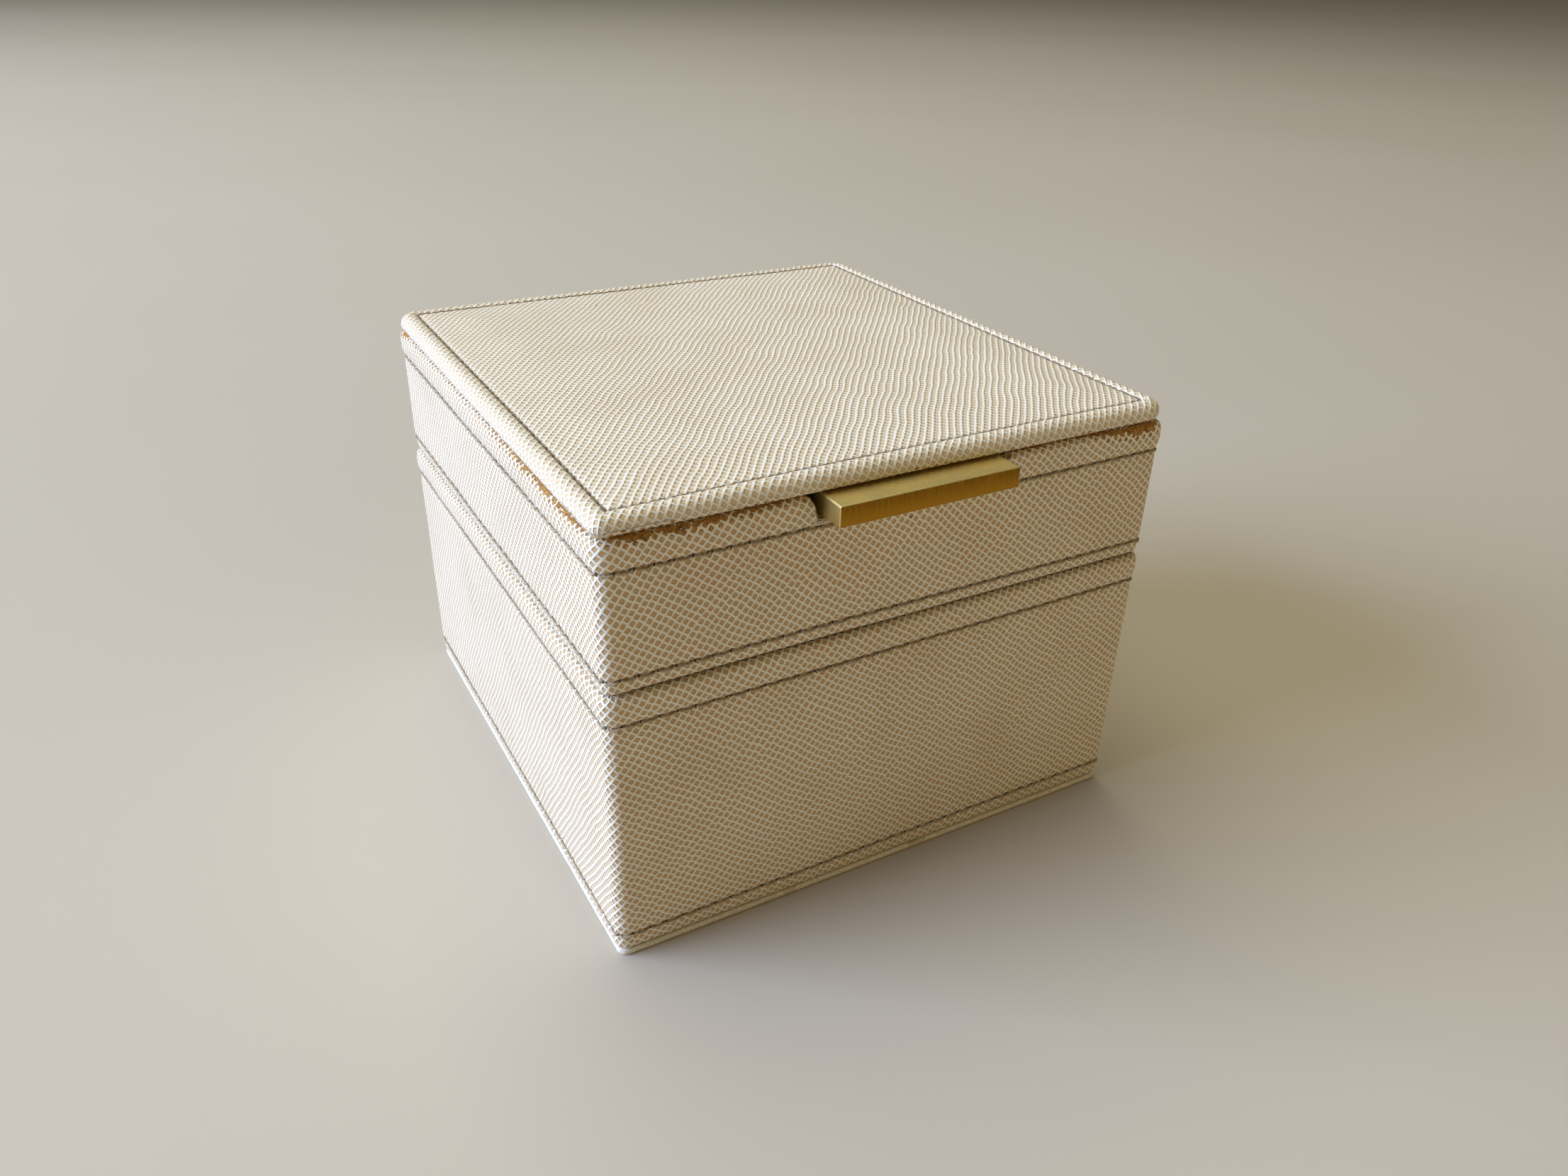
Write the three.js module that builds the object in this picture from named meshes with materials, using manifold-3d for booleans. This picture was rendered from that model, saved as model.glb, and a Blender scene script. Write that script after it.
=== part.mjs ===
// Travel jewelry case: a lower box, an upper tray that stacks on it, and a hinged lid with a
// pull tab. Millimetres, +Z up. The origin is on the resting surface, under the middle of the
// whole case. The front, with the tab, faces -Y, and +X is on its right.

import * as THREE from 'three';
import { mergeVertices } from 'three/addons/utils/BufferGeometryUtils.js';
import Module from 'manifold-3d';

const wasm = await Module();
wasm.setup();

// Driving dimensions

const width = 105;
const depth = 108.5;
const cornerRadius = 2.4;
const lidCornerRadius = 4;
const tightRadius = 0.4; // round corners of the pieces between the walls

const skin = 0.9; // leatherette with its backing
const board = 2.4; // greyboard walls and floors
const velvet = 0.8; // wall lining
const padThickness = 2; // velvet over thin foam
const gap = 0.3; // room between neighbouring pieces

const bottomPanel = 1.2;
const baseHem = 1.5; // lower edge of the lower box's cover
const baseRim = 51.5;
const trayHem = 52;
const trayRim = 77.2;
const lidUnder = 77.5;
const lidTop = 81;

const foldDepth = 6; // how far the cover is turned down inside a rim
const foamHeight = 3;
const rimRound = 2.2;
const rimSeam = 5.2; // seam below a rim
const baseHemSeam = 3.1; // seam above the lower box's hem
const trayHemSeam = 2.4;
const lidSeam = 4.6; // seam in from the lid's edge
const lidRound = 1.6; // rounding of the lid's edges
const lidUnderEdge = 9; // how far the cover is turned in under the lid
const lidSkinUnder = 0.7;
const lidSkinTop = 0.8;
const seamGroove = 0.5;
const thread = 0.35;
const threadHalf = 0.3; // half the thread's height along a seam

const plinthDepth = 2.8;
const plinthInset = 6.2;
const dividerThickness = 3;
const rollCount = 7;
const rollHeight = 11.5;
const rollSpacing = 0.6;

const tabLength = 33;
const tabHeight = 3.5;
const tabReach = 4.6; // how far the tab stands out of the front
const notchSide = 1.1; // room at each end of the tab
const flangeLength = 29;
const flangeThickness = 1;
const screwSpacing = 19;

const stripWidth = 88;
const stripThickness = 0.8;

// Distances in from the case's outer faces, through the wall

const boardOuter = skin + gap;
const boardInner = boardOuter + board;
const liningOuter = boardInner + gap;
const liningInner = liningOuter + velvet;
const foldInner = liningOuter + skin;
const floorInset = liningInner + gap;
const boardEnd = boardOuter + 1.2; // the front and back boards stop short of the round corners

// Heights

const boardBelowRim = skin + gap + foamHeight + gap;
const liningBelowRim = foldDepth + gap;
const baseFloorLow = baseHem + gap;
const baseFloorTop = baseFloorLow + board;
const basePadTop = baseFloorTop + gap + padThickness;
const trayFloorLow = trayHem + gap;
const trayFloorTop = trayFloorLow + board;
const trayPadTop = trayFloorTop + gap + padThickness;
const tabTop = lidUnder - gap;
const tabLow = tabTop - tabHeight;
const notchFloor = tabLow - gap;
const notchHalf = tabLength / 2 + notchSide;
const lidBoardLow = lidUnder + 0.8;
const lidBoardTop = lidBoardLow + 1.1;
const lidLiningLow = lidUnder - gap - 1.5;
const screwInset = 11.2;

const left = -width / 2;
const front = -depth / 2;
const right = width / 2;
const back = depth / 2;

// Materials

function material(color, roughness, metalness = 0) {
  return new THREE.MeshStandardMaterial({ color, roughness, metalness });
}

const leatherette = material(0xd9c7a3, 0.5);
const threadBrown = material(0x7a6552, 0.8);
const greyboard = material(0x9a938a, 0.9);
const foam = material(0xe8e4da, 0.95);
const velvetCream = material(0xcdbb9f, 0.95);
const baseboard = material(0xe6dccb, 0.7);
const gold = material(0xc9962f, 0.25, 1);
const steel = material(0xb4b2ad, 0.35, 1);

// Solids

function toSolid(geometry) {
  const bare = geometry.index ? geometry.toNonIndexed() : geometry.clone();
  bare.deleteAttribute('normal');
  bare.deleteAttribute('uv');
  const merged = mergeVertices(bare, 1e-4);
  const mesh = new wasm.Mesh({
    numProp: 3,
    vertProperties: Float32Array.from(merged.attributes.position.array),
    triVerts: Uint32Array.from(merged.index.array),
  });
  return new wasm.Manifold(mesh);
}

function toGeometry(solid) {
  const mesh = solid.getMesh();
  const geometry = new THREE.BufferGeometry();
  geometry.setAttribute('position', new THREE.BufferAttribute(mesh.vertProperties, 3));
  geometry.setIndex(new THREE.BufferAttribute(mesh.triVerts, 1));
  geometry.computeVertexNormals();
  return geometry;
}

function boxGeometry([x0, x1], [y0, y1], [z0, z1]) {
  const geometry = new THREE.BoxGeometry(x1 - x0, y1 - y0, z1 - z0);
  return geometry.translate((x0 + x1) / 2, (y0 + y1) / 2, (z0 + z1) / 2);
}

function boxSolid(xRange, yRange, zRange) {
  return toSolid(boxGeometry(xRange, yRange, zRange));
}

// The case's outline, moved in by inset, with round corners.
function outline(inset, radius, Kind = THREE.Shape) {
  const x = right - inset;
  const y = back - inset;
  const path = new Kind();
  path.moveTo(-x + radius, -y);
  path.lineTo(x - radius, -y);
  path.absarc(x - radius, -y + radius, radius, -Math.PI / 2, 0);
  path.lineTo(x, y - radius);
  path.absarc(x - radius, y - radius, radius, 0, Math.PI / 2);
  path.lineTo(-x + radius, y);
  path.absarc(-x + radius, y - radius, radius, Math.PI / 2, Math.PI);
  path.lineTo(-x, -y + radius);
  path.absarc(-x + radius, -y + radius, radius, Math.PI, 1.5 * Math.PI);
  return path;
}

// A shape raised from low to high, with its edges rounded at both ends.
function raised(shape, low, high, round = 0) {
  const geometry = new THREE.ExtrudeGeometry(shape, {
    depth: high - low - 2 * round,
    bevelEnabled: round > 0,
    bevelThickness: round,
    bevelSize: round,
    bevelOffset: -round,
    bevelSegments: 3,
    curveSegments: 3,
  });
  return toSolid(geometry.translate(0, 0, low + round));
}

function plate(inset, radius, low, high, round) {
  return raised(outline(inset, radius), low, high, round);
}

// A frame between two insets. Where it is rounded, only its top edges are.
function frame(outer, outerRadius, inner, innerRadius, low, high, round = 0) {
  const shape = outline(outer, outerRadius);
  shape.holes.push(outline(inner, innerRadius, THREE.Path));
  const solid = raised(shape, low - 2 * round, high, round);
  if (round === 0) {
    return solid;
  }
  const below = boxSolid([left - 1, right + 1], [front - 1, back + 1], [low - 3 * round, low]);
  return solid.subtract(below);
}

// The groove that a seam pulls into the cover, and the thread lying in it.
function seamCut(height) {
  return frame(-1, cornerRadius + 1, seamGroove, cornerRadius - seamGroove, height - seamGroove,
    height + seamGroove);
}

function seamThread(height) {
  const proud = 0.05;
  return frame(proud, cornerRadius - proud, proud + thread, cornerRadius - proud - thread,
    height - threadHalf, height + threadHalf);
}

// Leatherette over the four walls: flat outside, rolled over the rim and turned down inside.
function wallCover(hem, rim, seams, notch, notchRoom) {
  const outside = frame(0, cornerRadius, foldInner, 0.6, hem, rim, rimRound);
  const channel = frame(skin, cornerRadius - skin, liningOuter, 1, hem - 1, rim - skin, rimRound - skin);
  const insideCut = plate(liningOuter - 0.4, 1, hem - 1, rim - foldDepth);
  let cover = outside;
  let hollow = channel;
  if (notch) {
    cover = cover.subtract(notch);
    hollow = hollow.subtract(notchRoom);
  }
  cover = cover.subtract(hollow).subtract(insideCut);
  for (const seam of seams) {
    cover = cover.subtract(seamCut(seam));
  }
  return cover;
}

// Nodes

const jewelryCase = new THREE.Group();

function add(name, geometry, itsMaterial) {
  const mesh = new THREE.Mesh(geometry, itsMaterial);
  mesh.name = name;
  jewelryCase.add(mesh);
  return mesh;
}

function addSolid(name, solid, itsMaterial) {
  return add(name, toGeometry(solid), itsMaterial);
}

function addBox(name, ranges, itsMaterial) {
  return add(name, boxGeometry(...ranges), itsMaterial);
}

// The four wall boards of one tier. The side boards fit between the front and back ones.
function addWallBoards(tier, low, rim, notchCut) {
  const heights = [low, rim - boardBelowRim];
  const across = [left + boardEnd, right - boardEnd];
  const along = [front + liningOuter, back - liningOuter];
  addBox(`${tier}_back_board`, [across, [back - boardInner, back - boardOuter], heights], greyboard);
  addBox(`${tier}_left_board`, [[left + boardOuter, left + boardInner], along, heights], greyboard);
  addBox(`${tier}_right_board`, [[right - boardInner, right - boardOuter], along, heights], greyboard);
  const frontRanges = [across, [front + boardOuter, front + boardInner], heights];
  if (notchCut) {
    addSolid(`${tier}_front_board`, boxSolid(...frontRanges).subtract(notchCut), greyboard);
  } else {
    addBox(`${tier}_front_board`, frontRanges, greyboard);
  }
}

// A strip of foam with a round top, lying along Y about its own middle.
function foamGeometry(length) {
  const half = board / 2;
  const section = new THREE.Shape();
  section.moveTo(-half, 0);
  section.lineTo(half, 0);
  section.lineTo(half, foamHeight - half);
  section.absarc(0, foamHeight - half, half, 0, Math.PI);
  const geometry = new THREE.ExtrudeGeometry(section, {
    depth: length,
    bevelEnabled: false,
    curveSegments: 5,
  });
  return geometry.translate(0, 0, -length / 2).rotateX(Math.PI / 2);
}

function addFoam(name, length, x, y, rim, across) {
  const strip = add(name, foamGeometry(length), foam);
  strip.position.set(x, y, rim - skin - gap - foamHeight);
  strip.rotation.z = across ? Math.PI / 2 : 0;
}

function addRimFoam(tier, rim, notched) {
  const middle = (boardOuter + boardInner) / 2;
  const across = width - 2 * (boardEnd + 0.8);
  const along = depth - 2 * liningOuter;
  addFoam(`${tier}_rim_foam_back`, across, 0, back - middle, rim, true);
  addFoam(`${tier}_rim_foam_left`, along, left + middle, 0, rim, false);
  addFoam(`${tier}_rim_foam_right`, along, right - middle, 0, rim, false);
  if (notched) {
    const inner = notchHalf + skin + gap;
    const length = across / 2 - inner;
    const centre = inner + length / 2;
    addFoam(`${tier}_rim_foam_front_left`, length, -centre, front + middle, rim, true);
    addFoam(`${tier}_rim_foam_front_right`, length, centre, front + middle, rim, true);
  } else {
    addFoam(`${tier}_rim_foam_front`, across, 0, front + middle, rim, true);
  }
}

function addTierInside(tier, floorLow, rim) {
  const floorTop = floorLow + board;
  addSolid(`${tier}_floor_board`, plate(liningOuter, tightRadius, floorLow, floorTop), greyboard);
  const padLow = floorTop + gap;
  const lining = frame(liningOuter, tightRadius, liningInner, tightRadius, padLow,
    rim - liningBelowRim);
  addSolid(`${tier}_wall_lining`, lining, velvetCream);
  const pad = plate(floorInset, 0.6, padLow, padLow + padThickness);
  addSolid(`${tier}_floor_pad`, pad, velvetCream);
}

// A card covered in velvet, standing on the floor pad.
function addDivider(name, [x0, x1], [y0, y1], [low, high]) {
  const round = 1.2;
  const alongX = x1 - x0 > y1 - y0;
  const length = alongX ? x1 - x0 : y1 - y0;
  const half = dividerThickness / 2;
  const section = new THREE.Shape();
  section.moveTo(-half, 0);
  section.lineTo(half, 0);
  section.lineTo(half, high - low - round);
  section.absarc(half - round, high - low - round, round, 0, Math.PI / 2);
  section.absarc(-half + round, high - low - round, round, Math.PI / 2, Math.PI);
  const geometry = new THREE.ExtrudeGeometry(section, {
    depth: length,
    bevelEnabled: false,
    curveSegments: 3,
  });
  geometry.translate(0, 0, -length / 2).rotateX(Math.PI / 2);
  const divider = add(name, geometry, velvetCream);
  divider.position.set((x0 + x1) / 2, (y0 + y1) / 2, low);
  divider.rotation.z = alongX ? Math.PI / 2 : 0;
}

function addBase() {
  addSolid('bottom_panel', plate(0.6, cornerRadius - 0.6, 0, bottomPanel), baseboard);
  addWallBoards('base', baseFloorLow, baseRim);
  addRimFoam('base', baseRim, false);
  const seams = [baseRim - rimSeam, baseHem + baseHemSeam];
  addSolid('base_cover', wallCover(baseHem, baseRim, seams), leatherette);
  addSolid('base_rim_stitching', seamThread(seams[0]), threadBrown);
  addSolid('base_hem_stitching', seamThread(seams[1]), threadBrown);
  addTierInside('base', baseFloorLow, baseRim);

  const heights = [basePadTop + gap, baseRim - 9];
  const middle = [8, 8 + dividerThickness];
  const across = [left + floorInset, right - floorInset];
  addDivider('base_long_divider', across, middle, heights);
  const half = dividerThickness / 2;
  addDivider('base_short_divider', [-half, half], [front + floorInset, middle[0] - gap], heights);
}

function addRingRolls([x0, x1], low) {
  const span = depth - 2 * floorInset;
  const pitch = (span + rollSpacing) / rollCount;
  const half = (pitch - rollSpacing) / 2;
  const round = 5.4;
  const section = new THREE.Shape();
  section.moveTo(-half, 1);
  section.absarc(-half + 1, 1, 1, Math.PI, 1.5 * Math.PI);
  section.absarc(half - 1, 1, 1, 1.5 * Math.PI, 2 * Math.PI);
  section.absarc(half - round, rollHeight - round, round, 0, Math.PI / 2);
  section.absarc(-half + round, rollHeight - round, round, Math.PI / 2, Math.PI);
  for (let i = 0; i < rollCount; i += 1) {
    const geometry = new THREE.ExtrudeGeometry(section, {
      depth: x1 - x0,
      bevelEnabled: false,
      curveSegments: 4,
    });
    geometry.rotateX(Math.PI / 2).rotateZ(Math.PI / 2);
    const roll = add(`ring_roll_${i + 1}`, geometry, velvetCream);
    roll.position.set(x0, front + floorInset + half + i * pitch, low);
  }
}

function addTray() {
  const cutDepth = foldInner + 1;
  const yRange = [front - 1, front + cutDepth];
  const notch = boxSolid([-notchHalf, notchHalf], yRange, [notchFloor, trayRim + 1]);
  const room = notchHalf + skin;
  const notchRoom = boxSolid([-room, room], yRange, [notchFloor - skin, trayRim + 1]);
  const boardRoom = boxSolid([-room - gap, room + gap], yRange, [notchFloor - skin - gap, trayRim + 1]);

  addWallBoards('tray', trayFloorLow, trayRim, boardRoom);
  addRimFoam('tray', trayRim, true);
  const seams = [trayRim - rimSeam, trayHem + trayHemSeam];
  addSolid('tray_cover', wallCover(trayHem, trayRim, seams, notch, notchRoom), leatherette);
  addSolid('tray_rim_stitching', seamThread(seams[0]), threadBrown);
  addSolid('tray_hem_stitching', seamThread(seams[1]), threadBrown);
  addTierInside('tray', trayFloorLow, trayRim);
  addSolid('tray_plinth', plate(plinthInset, 1.5, trayHem - plinthDepth, trayHem), velvetCream);

  const heights = [trayPadTop + gap, trayRim - 7.2];
  const wallX = [4, 4 + dividerThickness];
  addDivider('tray_long_divider', wallX, [front + floorInset, back - floorInset], heights);
  const shortX = [wallX[1] + gap, right - floorInset];
  const third = depth / 6 - 1;
  const half = dividerThickness / 2;
  addDivider('tray_front_divider', shortX, [-third - half, -third + half], heights);
  addDivider('tray_back_divider', shortX, [third - half, third + half], heights);
  addRingRolls([left + floorInset, wallX[0] - gap], trayPadTop + gap);

  const stripX = [-stripWidth / 2, stripWidth / 2];
  const stripY = [back + 0.1, back + 0.1 + stripThickness];
  addBox('hinge_strip', [stripX, stripY, [trayRim - 14.5, trayRim - 0.8]], leatherette);
}

function screwGeometry(headLow, headTop, shankTop) {
  const headRadius = 1.9;
  const shankRadius = 0.9;
  const profile = [
    new THREE.Vector2(0, headLow),
    new THREE.Vector2(1.4, headLow),
    new THREE.Vector2(headRadius, headLow + 0.4),
    new THREE.Vector2(headRadius, headTop),
    new THREE.Vector2(shankRadius, headTop),
    new THREE.Vector2(shankRadius, shankTop),
    new THREE.Vector2(0, shankTop),
  ];
  return new THREE.LatheGeometry(profile, 16).rotateX(Math.PI / 2);
}

// Clearance holes for both screws, from the tab's flange up through the lid's board.
function screwHoles() {
  const radius = 1.25;
  const holes = [-1, 1].map((side) => {
    const hole = new THREE.CylinderGeometry(radius, radius, 8, 16).rotateX(Math.PI / 2);
    return toSolid(hole.translate((side * screwSpacing) / 2, front + screwInset, lidUnder));
  });
  return holes[0].add(holes[1]);
}

function addLid() {
  const holes = screwHoles();
  const outside = plate(0, lidCornerRadius, lidUnder, lidTop, lidRound);
  const hollow = plate(skin, lidCornerRadius - skin, lidUnder + lidSkinUnder, lidTop - lidSkinTop,
    tightRadius);
  const window = plate(lidUnderEdge, 2, lidUnder - 1, lidUnder + 1);
  const groove = frame(lidSeam - seamGroove, tightRadius, lidSeam + seamGroove, tightRadius,
    lidTop - 0.45, lidTop + 1);
  const cover = outside.subtract(hollow).subtract(window).subtract(groove);
  addSolid('lid_cover', cover, leatherette);

  const stitching = frame(lidSeam - 0.2, 1, lidSeam + 0.2, 0.6, lidTop - 0.35, lidTop - 0.05);
  addSolid('lid_stitching', stitching, threadBrown);

  const boardRadius = lidCornerRadius - boardOuter;
  const lidBoard = plate(boardOuter + 0.1, boardRadius, lidBoardLow, lidBoardTop).subtract(holes);
  addSolid('lid_board', lidBoard, greyboard);
  addSolid('lid_foam', plate(boardOuter + 0.3, boardRadius, lidBoardTop + 0.1, lidTop - 0.9), foam);
  const card = plate(lidUnderEdge + gap, 1.6, lidUnder, lidUnder + 0.5).subtract(holes);
  addSolid('lid_lining_card', card, greyboard);

  const half = flangeLength / 2 + 0.7;
  const cutEnd = front + screwInset + 3.5;
  const tabCut = boxSolid([-half, half], [front, cutEnd], [lidLiningLow - 1, lidUnder]);
  const lining = plate(6.2, 2, lidLiningLow, lidUnder - gap).subtract(tabCut);
  addSolid('lid_lining_pad', lining, velvetCream);

  const barX = [-tabLength / 2, tabLength / 2];
  const bar = boxSolid(barX, [front - tabReach, front + foldInner + 1], [tabLow, tabTop]);
  const flangeX = [-flangeLength / 2, flangeLength / 2];
  const flangeY = [front + foldInner, front + screwInset + 2.8];
  const flange = boxSolid(flangeX, flangeY, [tabTop - flangeThickness, tabTop]);
  addSolid('pull_tab', bar.add(flange).subtract(holes), gold);

  const headTop = tabTop - flangeThickness - 0.1;
  ['left', 'right'].forEach((side, i) => {
    const screw = add(`tab_screw_${side}`, screwGeometry(headTop - 0.9, headTop, lidBoardTop - 0.2), steel);
    screw.position.set((i - 0.5) * screwSpacing, front + screwInset, 0);
  });
}

addBase();
addTray();
addLid();

// The tab stands further out in front than the hinge strip does behind, so the case sits back.
jewelryCase.position.y = (tabReach - stripThickness - 0.1) / 2;

export default jewelryCase;
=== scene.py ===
"""A small two-tier jewelry case in cream leatherette: a lower box, an upper tray and a padded lid
with a gold pull tab. Metres, +Z up, the front towards -Y."""

import math
from collections import namedtuple
from functools import cache

import bmesh
import bpy
from mathutils import Matrix, Vector, noise


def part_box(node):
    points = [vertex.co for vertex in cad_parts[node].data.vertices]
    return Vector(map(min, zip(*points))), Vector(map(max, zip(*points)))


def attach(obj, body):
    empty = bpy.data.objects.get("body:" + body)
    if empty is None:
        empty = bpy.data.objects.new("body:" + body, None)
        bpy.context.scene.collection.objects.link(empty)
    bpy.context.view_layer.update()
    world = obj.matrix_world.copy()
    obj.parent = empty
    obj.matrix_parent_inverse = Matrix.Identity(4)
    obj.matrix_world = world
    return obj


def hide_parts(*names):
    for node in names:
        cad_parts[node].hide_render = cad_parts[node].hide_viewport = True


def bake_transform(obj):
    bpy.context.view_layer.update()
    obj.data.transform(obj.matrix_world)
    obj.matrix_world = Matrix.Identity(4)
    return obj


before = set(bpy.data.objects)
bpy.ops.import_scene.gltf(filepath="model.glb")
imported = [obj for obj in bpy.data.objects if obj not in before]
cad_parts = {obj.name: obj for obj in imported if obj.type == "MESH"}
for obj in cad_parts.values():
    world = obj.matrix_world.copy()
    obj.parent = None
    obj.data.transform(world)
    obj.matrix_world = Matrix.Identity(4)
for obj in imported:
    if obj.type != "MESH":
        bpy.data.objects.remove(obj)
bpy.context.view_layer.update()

MM = 0.001
X, Y, Z = range(3)

# Places, from the frame

Tier = namedtuple("Tier", "name body hem rim seams")


def middle_of(name, axis):
    """Where the middle of a node is along an axis."""
    low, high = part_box(name)
    return (low[axis] + high[axis]) / 2


def read_tier(name, body):
    """A tier of the case: the heights of its cover's hem and rim, and of its two seams."""
    low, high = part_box(name + "_cover")
    seams = tuple(middle_of(f"{name}_{row}_stitching", Z) for row in ("hem", "rim"))
    return Tier(name, body, low.z, high.z, seams)


BASE = read_tier("base", "base")
TRAY = read_tier("tray", "upper_tray")

CASE_LOW, CASE_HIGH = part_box("base_cover")
LEFT, FRONT = CASE_LOW.xy
RIGHT, BACK = CASE_HIGH.xy
LID_UNDER, LID_TOP = (corner.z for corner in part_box("lid_cover"))
TAB_LOW, TAB_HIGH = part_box("pull_tab")

WALL_CORNER = 2.3 * MM
LID_CORNERS = (4 * MM, 1.9 * MM, 4 * MM, 4.4 * MM)

SKIN = 0.75 * MM
FOLD_OUTER = 3.95 * MM
FOLD_INNER = 4.75 * MM
FOLD_DEPTH = 6 * MM
RIM_ROUND = 1.5 * MM
WALL_INSET = 0.25 * MM
FOAM_SWELL = 0.34 * MM  # of the wall between the upper seam and the rim

# At a seam the cover is creased under the thread, within a wider and softer dip. Each has a depth
# and a reach.
WALL_CREASE, WALL_DIP = (0.24 * MM, 0.34 * MM), (0.14 * MM, 1.2 * MM)
LID_CREASE, LID_DIP = (0.36 * MM, 0.28 * MM), (0.14 * MM, 0.9 * MM)
STRIP_CREASE = (0.25 * MM, 0.3 * MM)

LID_SEAM = 3.5 * MM
LID_EDGE_INSET = 0.12 * MM
LID_HALF_STITCHES = (16, 17)  # from the middle of a side to its corner, along X and along Y
WALL_STITCHES = 141
STITCH_PITCH = 3 * MM
NEEDLE_HOLE = 0.2 * MM
WALL_THREAD_DEPTH = 0.06 * MM
LID_THREAD_RISE = 0.24 * MM

JOIN_GROOVE = 0.16 * MM  # where the ends of a wall's cover butt together
NOTCH_HALF = 17.4 * MM
NOTCH_ROUND = 2.4 * MM
NOT_PEELED = -5.0  # millimetres, well outside any peeled strip


# Small sums

def clamp(value, low=0.0, high=1.0):
    return max(low, min(high, value))


def smooth(start, end, value):
    t = clamp((value - start) / (end - start))
    return t * t * (3 - 2 * t)


def hump(away, width):
    return math.exp(-(away / width) ** 2)


def sunk(away, *hollows):
    """How deep the hollows, each with a depth and a reach, are at a distance from their middle."""
    return sum(depth * hump(away, reach) for depth, reach in hollows)


def wander(x, y, seed, size):
    """Smooth unevenness between about -1 and 1, that changes over size."""
    return noise.noise(Vector((x / size, y / size, seed)))


def arc(centre, radius, start, end, steps):
    """Points of an arc from start to end degrees, both ends included."""
    angles = [math.radians(start + (end - start) * i / steps) for i in range(steps + 1)]
    return [(centre[0] + radius * math.cos(a), centre[1] + radius * math.sin(a)) for a in angles]


# The case's outline

class Outline:
    """The case's rectangle with round corners, walked anticlockwise from the middle of its back.
    Its corners are back left, front left, front right and back right."""

    def __init__(self, radii):
        a, b, c, d = radii
        middle = (LEFT + RIGHT) / 2
        quarter = math.pi / 2
        # A side has its length, None, its start and its heading, and a corner has its length, its
        # radius, its centre and the angle that it starts at
        self.parts = [
            (middle - LEFT - a, None, (middle, BACK), 180),
            (a * quarter, a, (LEFT + a, BACK - a), 90),
            (BACK - FRONT - a - b, None, (LEFT, BACK - a), 270),
            (b * quarter, b, (LEFT + b, FRONT + b), 180),
            (RIGHT - LEFT - b - c, None, (LEFT + b, FRONT), 0),
            (c * quarter, c, (RIGHT - c, FRONT + c), 270),
            (BACK - FRONT - c - d, None, (RIGHT, FRONT + c), 90),
            (d * quarter, d, (RIGHT - d, BACK - d), 0),
            (RIGHT - middle - d, None, (RIGHT - d, BACK), 180),
        ]
        self.length = sum(part[0] for part in self.parts)

    def front_middle(self):
        return sum(part[0] for part in self.parts[:4]) + self.parts[4][0] / 2

    def at(self, along, inset=0.0):
        """The point this far along the outline, moved in by inset."""
        for length, radius, (x, y), heading in self.parts[:-1]:
            if along <= length:
                break
            along -= length
        else:
            length, radius, (x, y), heading = self.parts[-1]
        angle = math.radians(heading)
        if radius is None:
            x += along * math.cos(angle) - inset * math.sin(angle)
            y += along * math.sin(angle) + inset * math.cos(angle)
        else:
            angle += along / radius
            x += (radius - inset) * math.cos(angle)
            y += (radius - inset) * math.sin(angle)
        return clamp(x, LEFT + inset, RIGHT - inset), clamp(y, FRONT + inset, BACK - inset)

    def stations(self, step, corner_step, fine=()):
        """Distances along the outline where a cover gets a row of points. Round the fine
        distances, given with their reach, the rows are closer."""
        rows = [0.0]
        start = 0.0
        for length, radius, _, _ in self.parts:
            count = max(1, round(length / (corner_step if radius else step)))
            for i in range(count):
                low = start + length * i / count
                high = start + length * (i + 1) / count
                near = any(abs((low + high) / 2 - place) < reach for place, reach in fine)
                pieces = 3 if near else 1
                rows.extend(low + (high - low) * (k + 1) / pieces for k in range(pieces))
            start += length
        return rows


# Meshes

def make_piece(bm, name, material, body=None, replaces=(), shade_smooth=True):
    """Turns a form into a piece that moves with a body, in place of the nodes that it replaces."""
    mesh = bpy.data.meshes.new(name)
    for face in bm.faces:
        face.smooth = shade_smooth
    bm.to_mesh(mesh)
    bm.free()
    mesh.materials.append(material)
    piece = bpy.data.objects.new(name, mesh)
    bpy.context.scene.collection.objects.link(piece)
    if body:
        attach(piece, body)
    if replaces:
        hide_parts(*replaces)
    return piece


def chain(bm, points, closed):
    """Points (inset, height, across) as a chain of edges on the plane X = 0."""
    across = bm.verts.layers.float.new("across")
    verts = []
    for inset, height, distance in points:
        vert = bm.verts.new((0, inset, height))
        vert[across] = distance
        verts.append(vert)
    for a, b in zip(verts, verts[1:]):
        bm.edges.new((a, b))
    if closed:
        bm.edges.new((verts[-1], verts[0]))
    return across


def sweep(points, rows, closed):
    """Draws a section along a straight line, then cuts it into one row of points for each row."""
    bm = bmesh.new()
    across = chain(bm, points, closed)
    along = bm.verts.layers.float.new("along")
    bmesh.ops.spin(bm, geom=bm.verts[:] + bm.edges[:], cent=(0, 0, 0), axis=(1, 0, 0),
                   dvec=(len(rows) - 1, 0, 0), angle=0, steps=1, use_duplicate=False)
    lengthwise = [edge for edge in bm.edges if edge.verts[0].co.x != edge.verts[1].co.x]
    bmesh.ops.subdivide_edges(bm, edges=lengthwise, cuts=len(rows) - 2)
    for vert in bm.verts:
        vert[along] = rows[round(vert.co.x)]
    return bm, along, across


def set_map(bm, name, place):
    """Writes a UV map before the seam is joined; place(vert) gives a point's place on it."""
    layer = bm.loops.layers.uv.new(name)
    for face in bm.faces:
        for loop in face.loops:
            loop[layer].uv = place(loop.vert)


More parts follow.
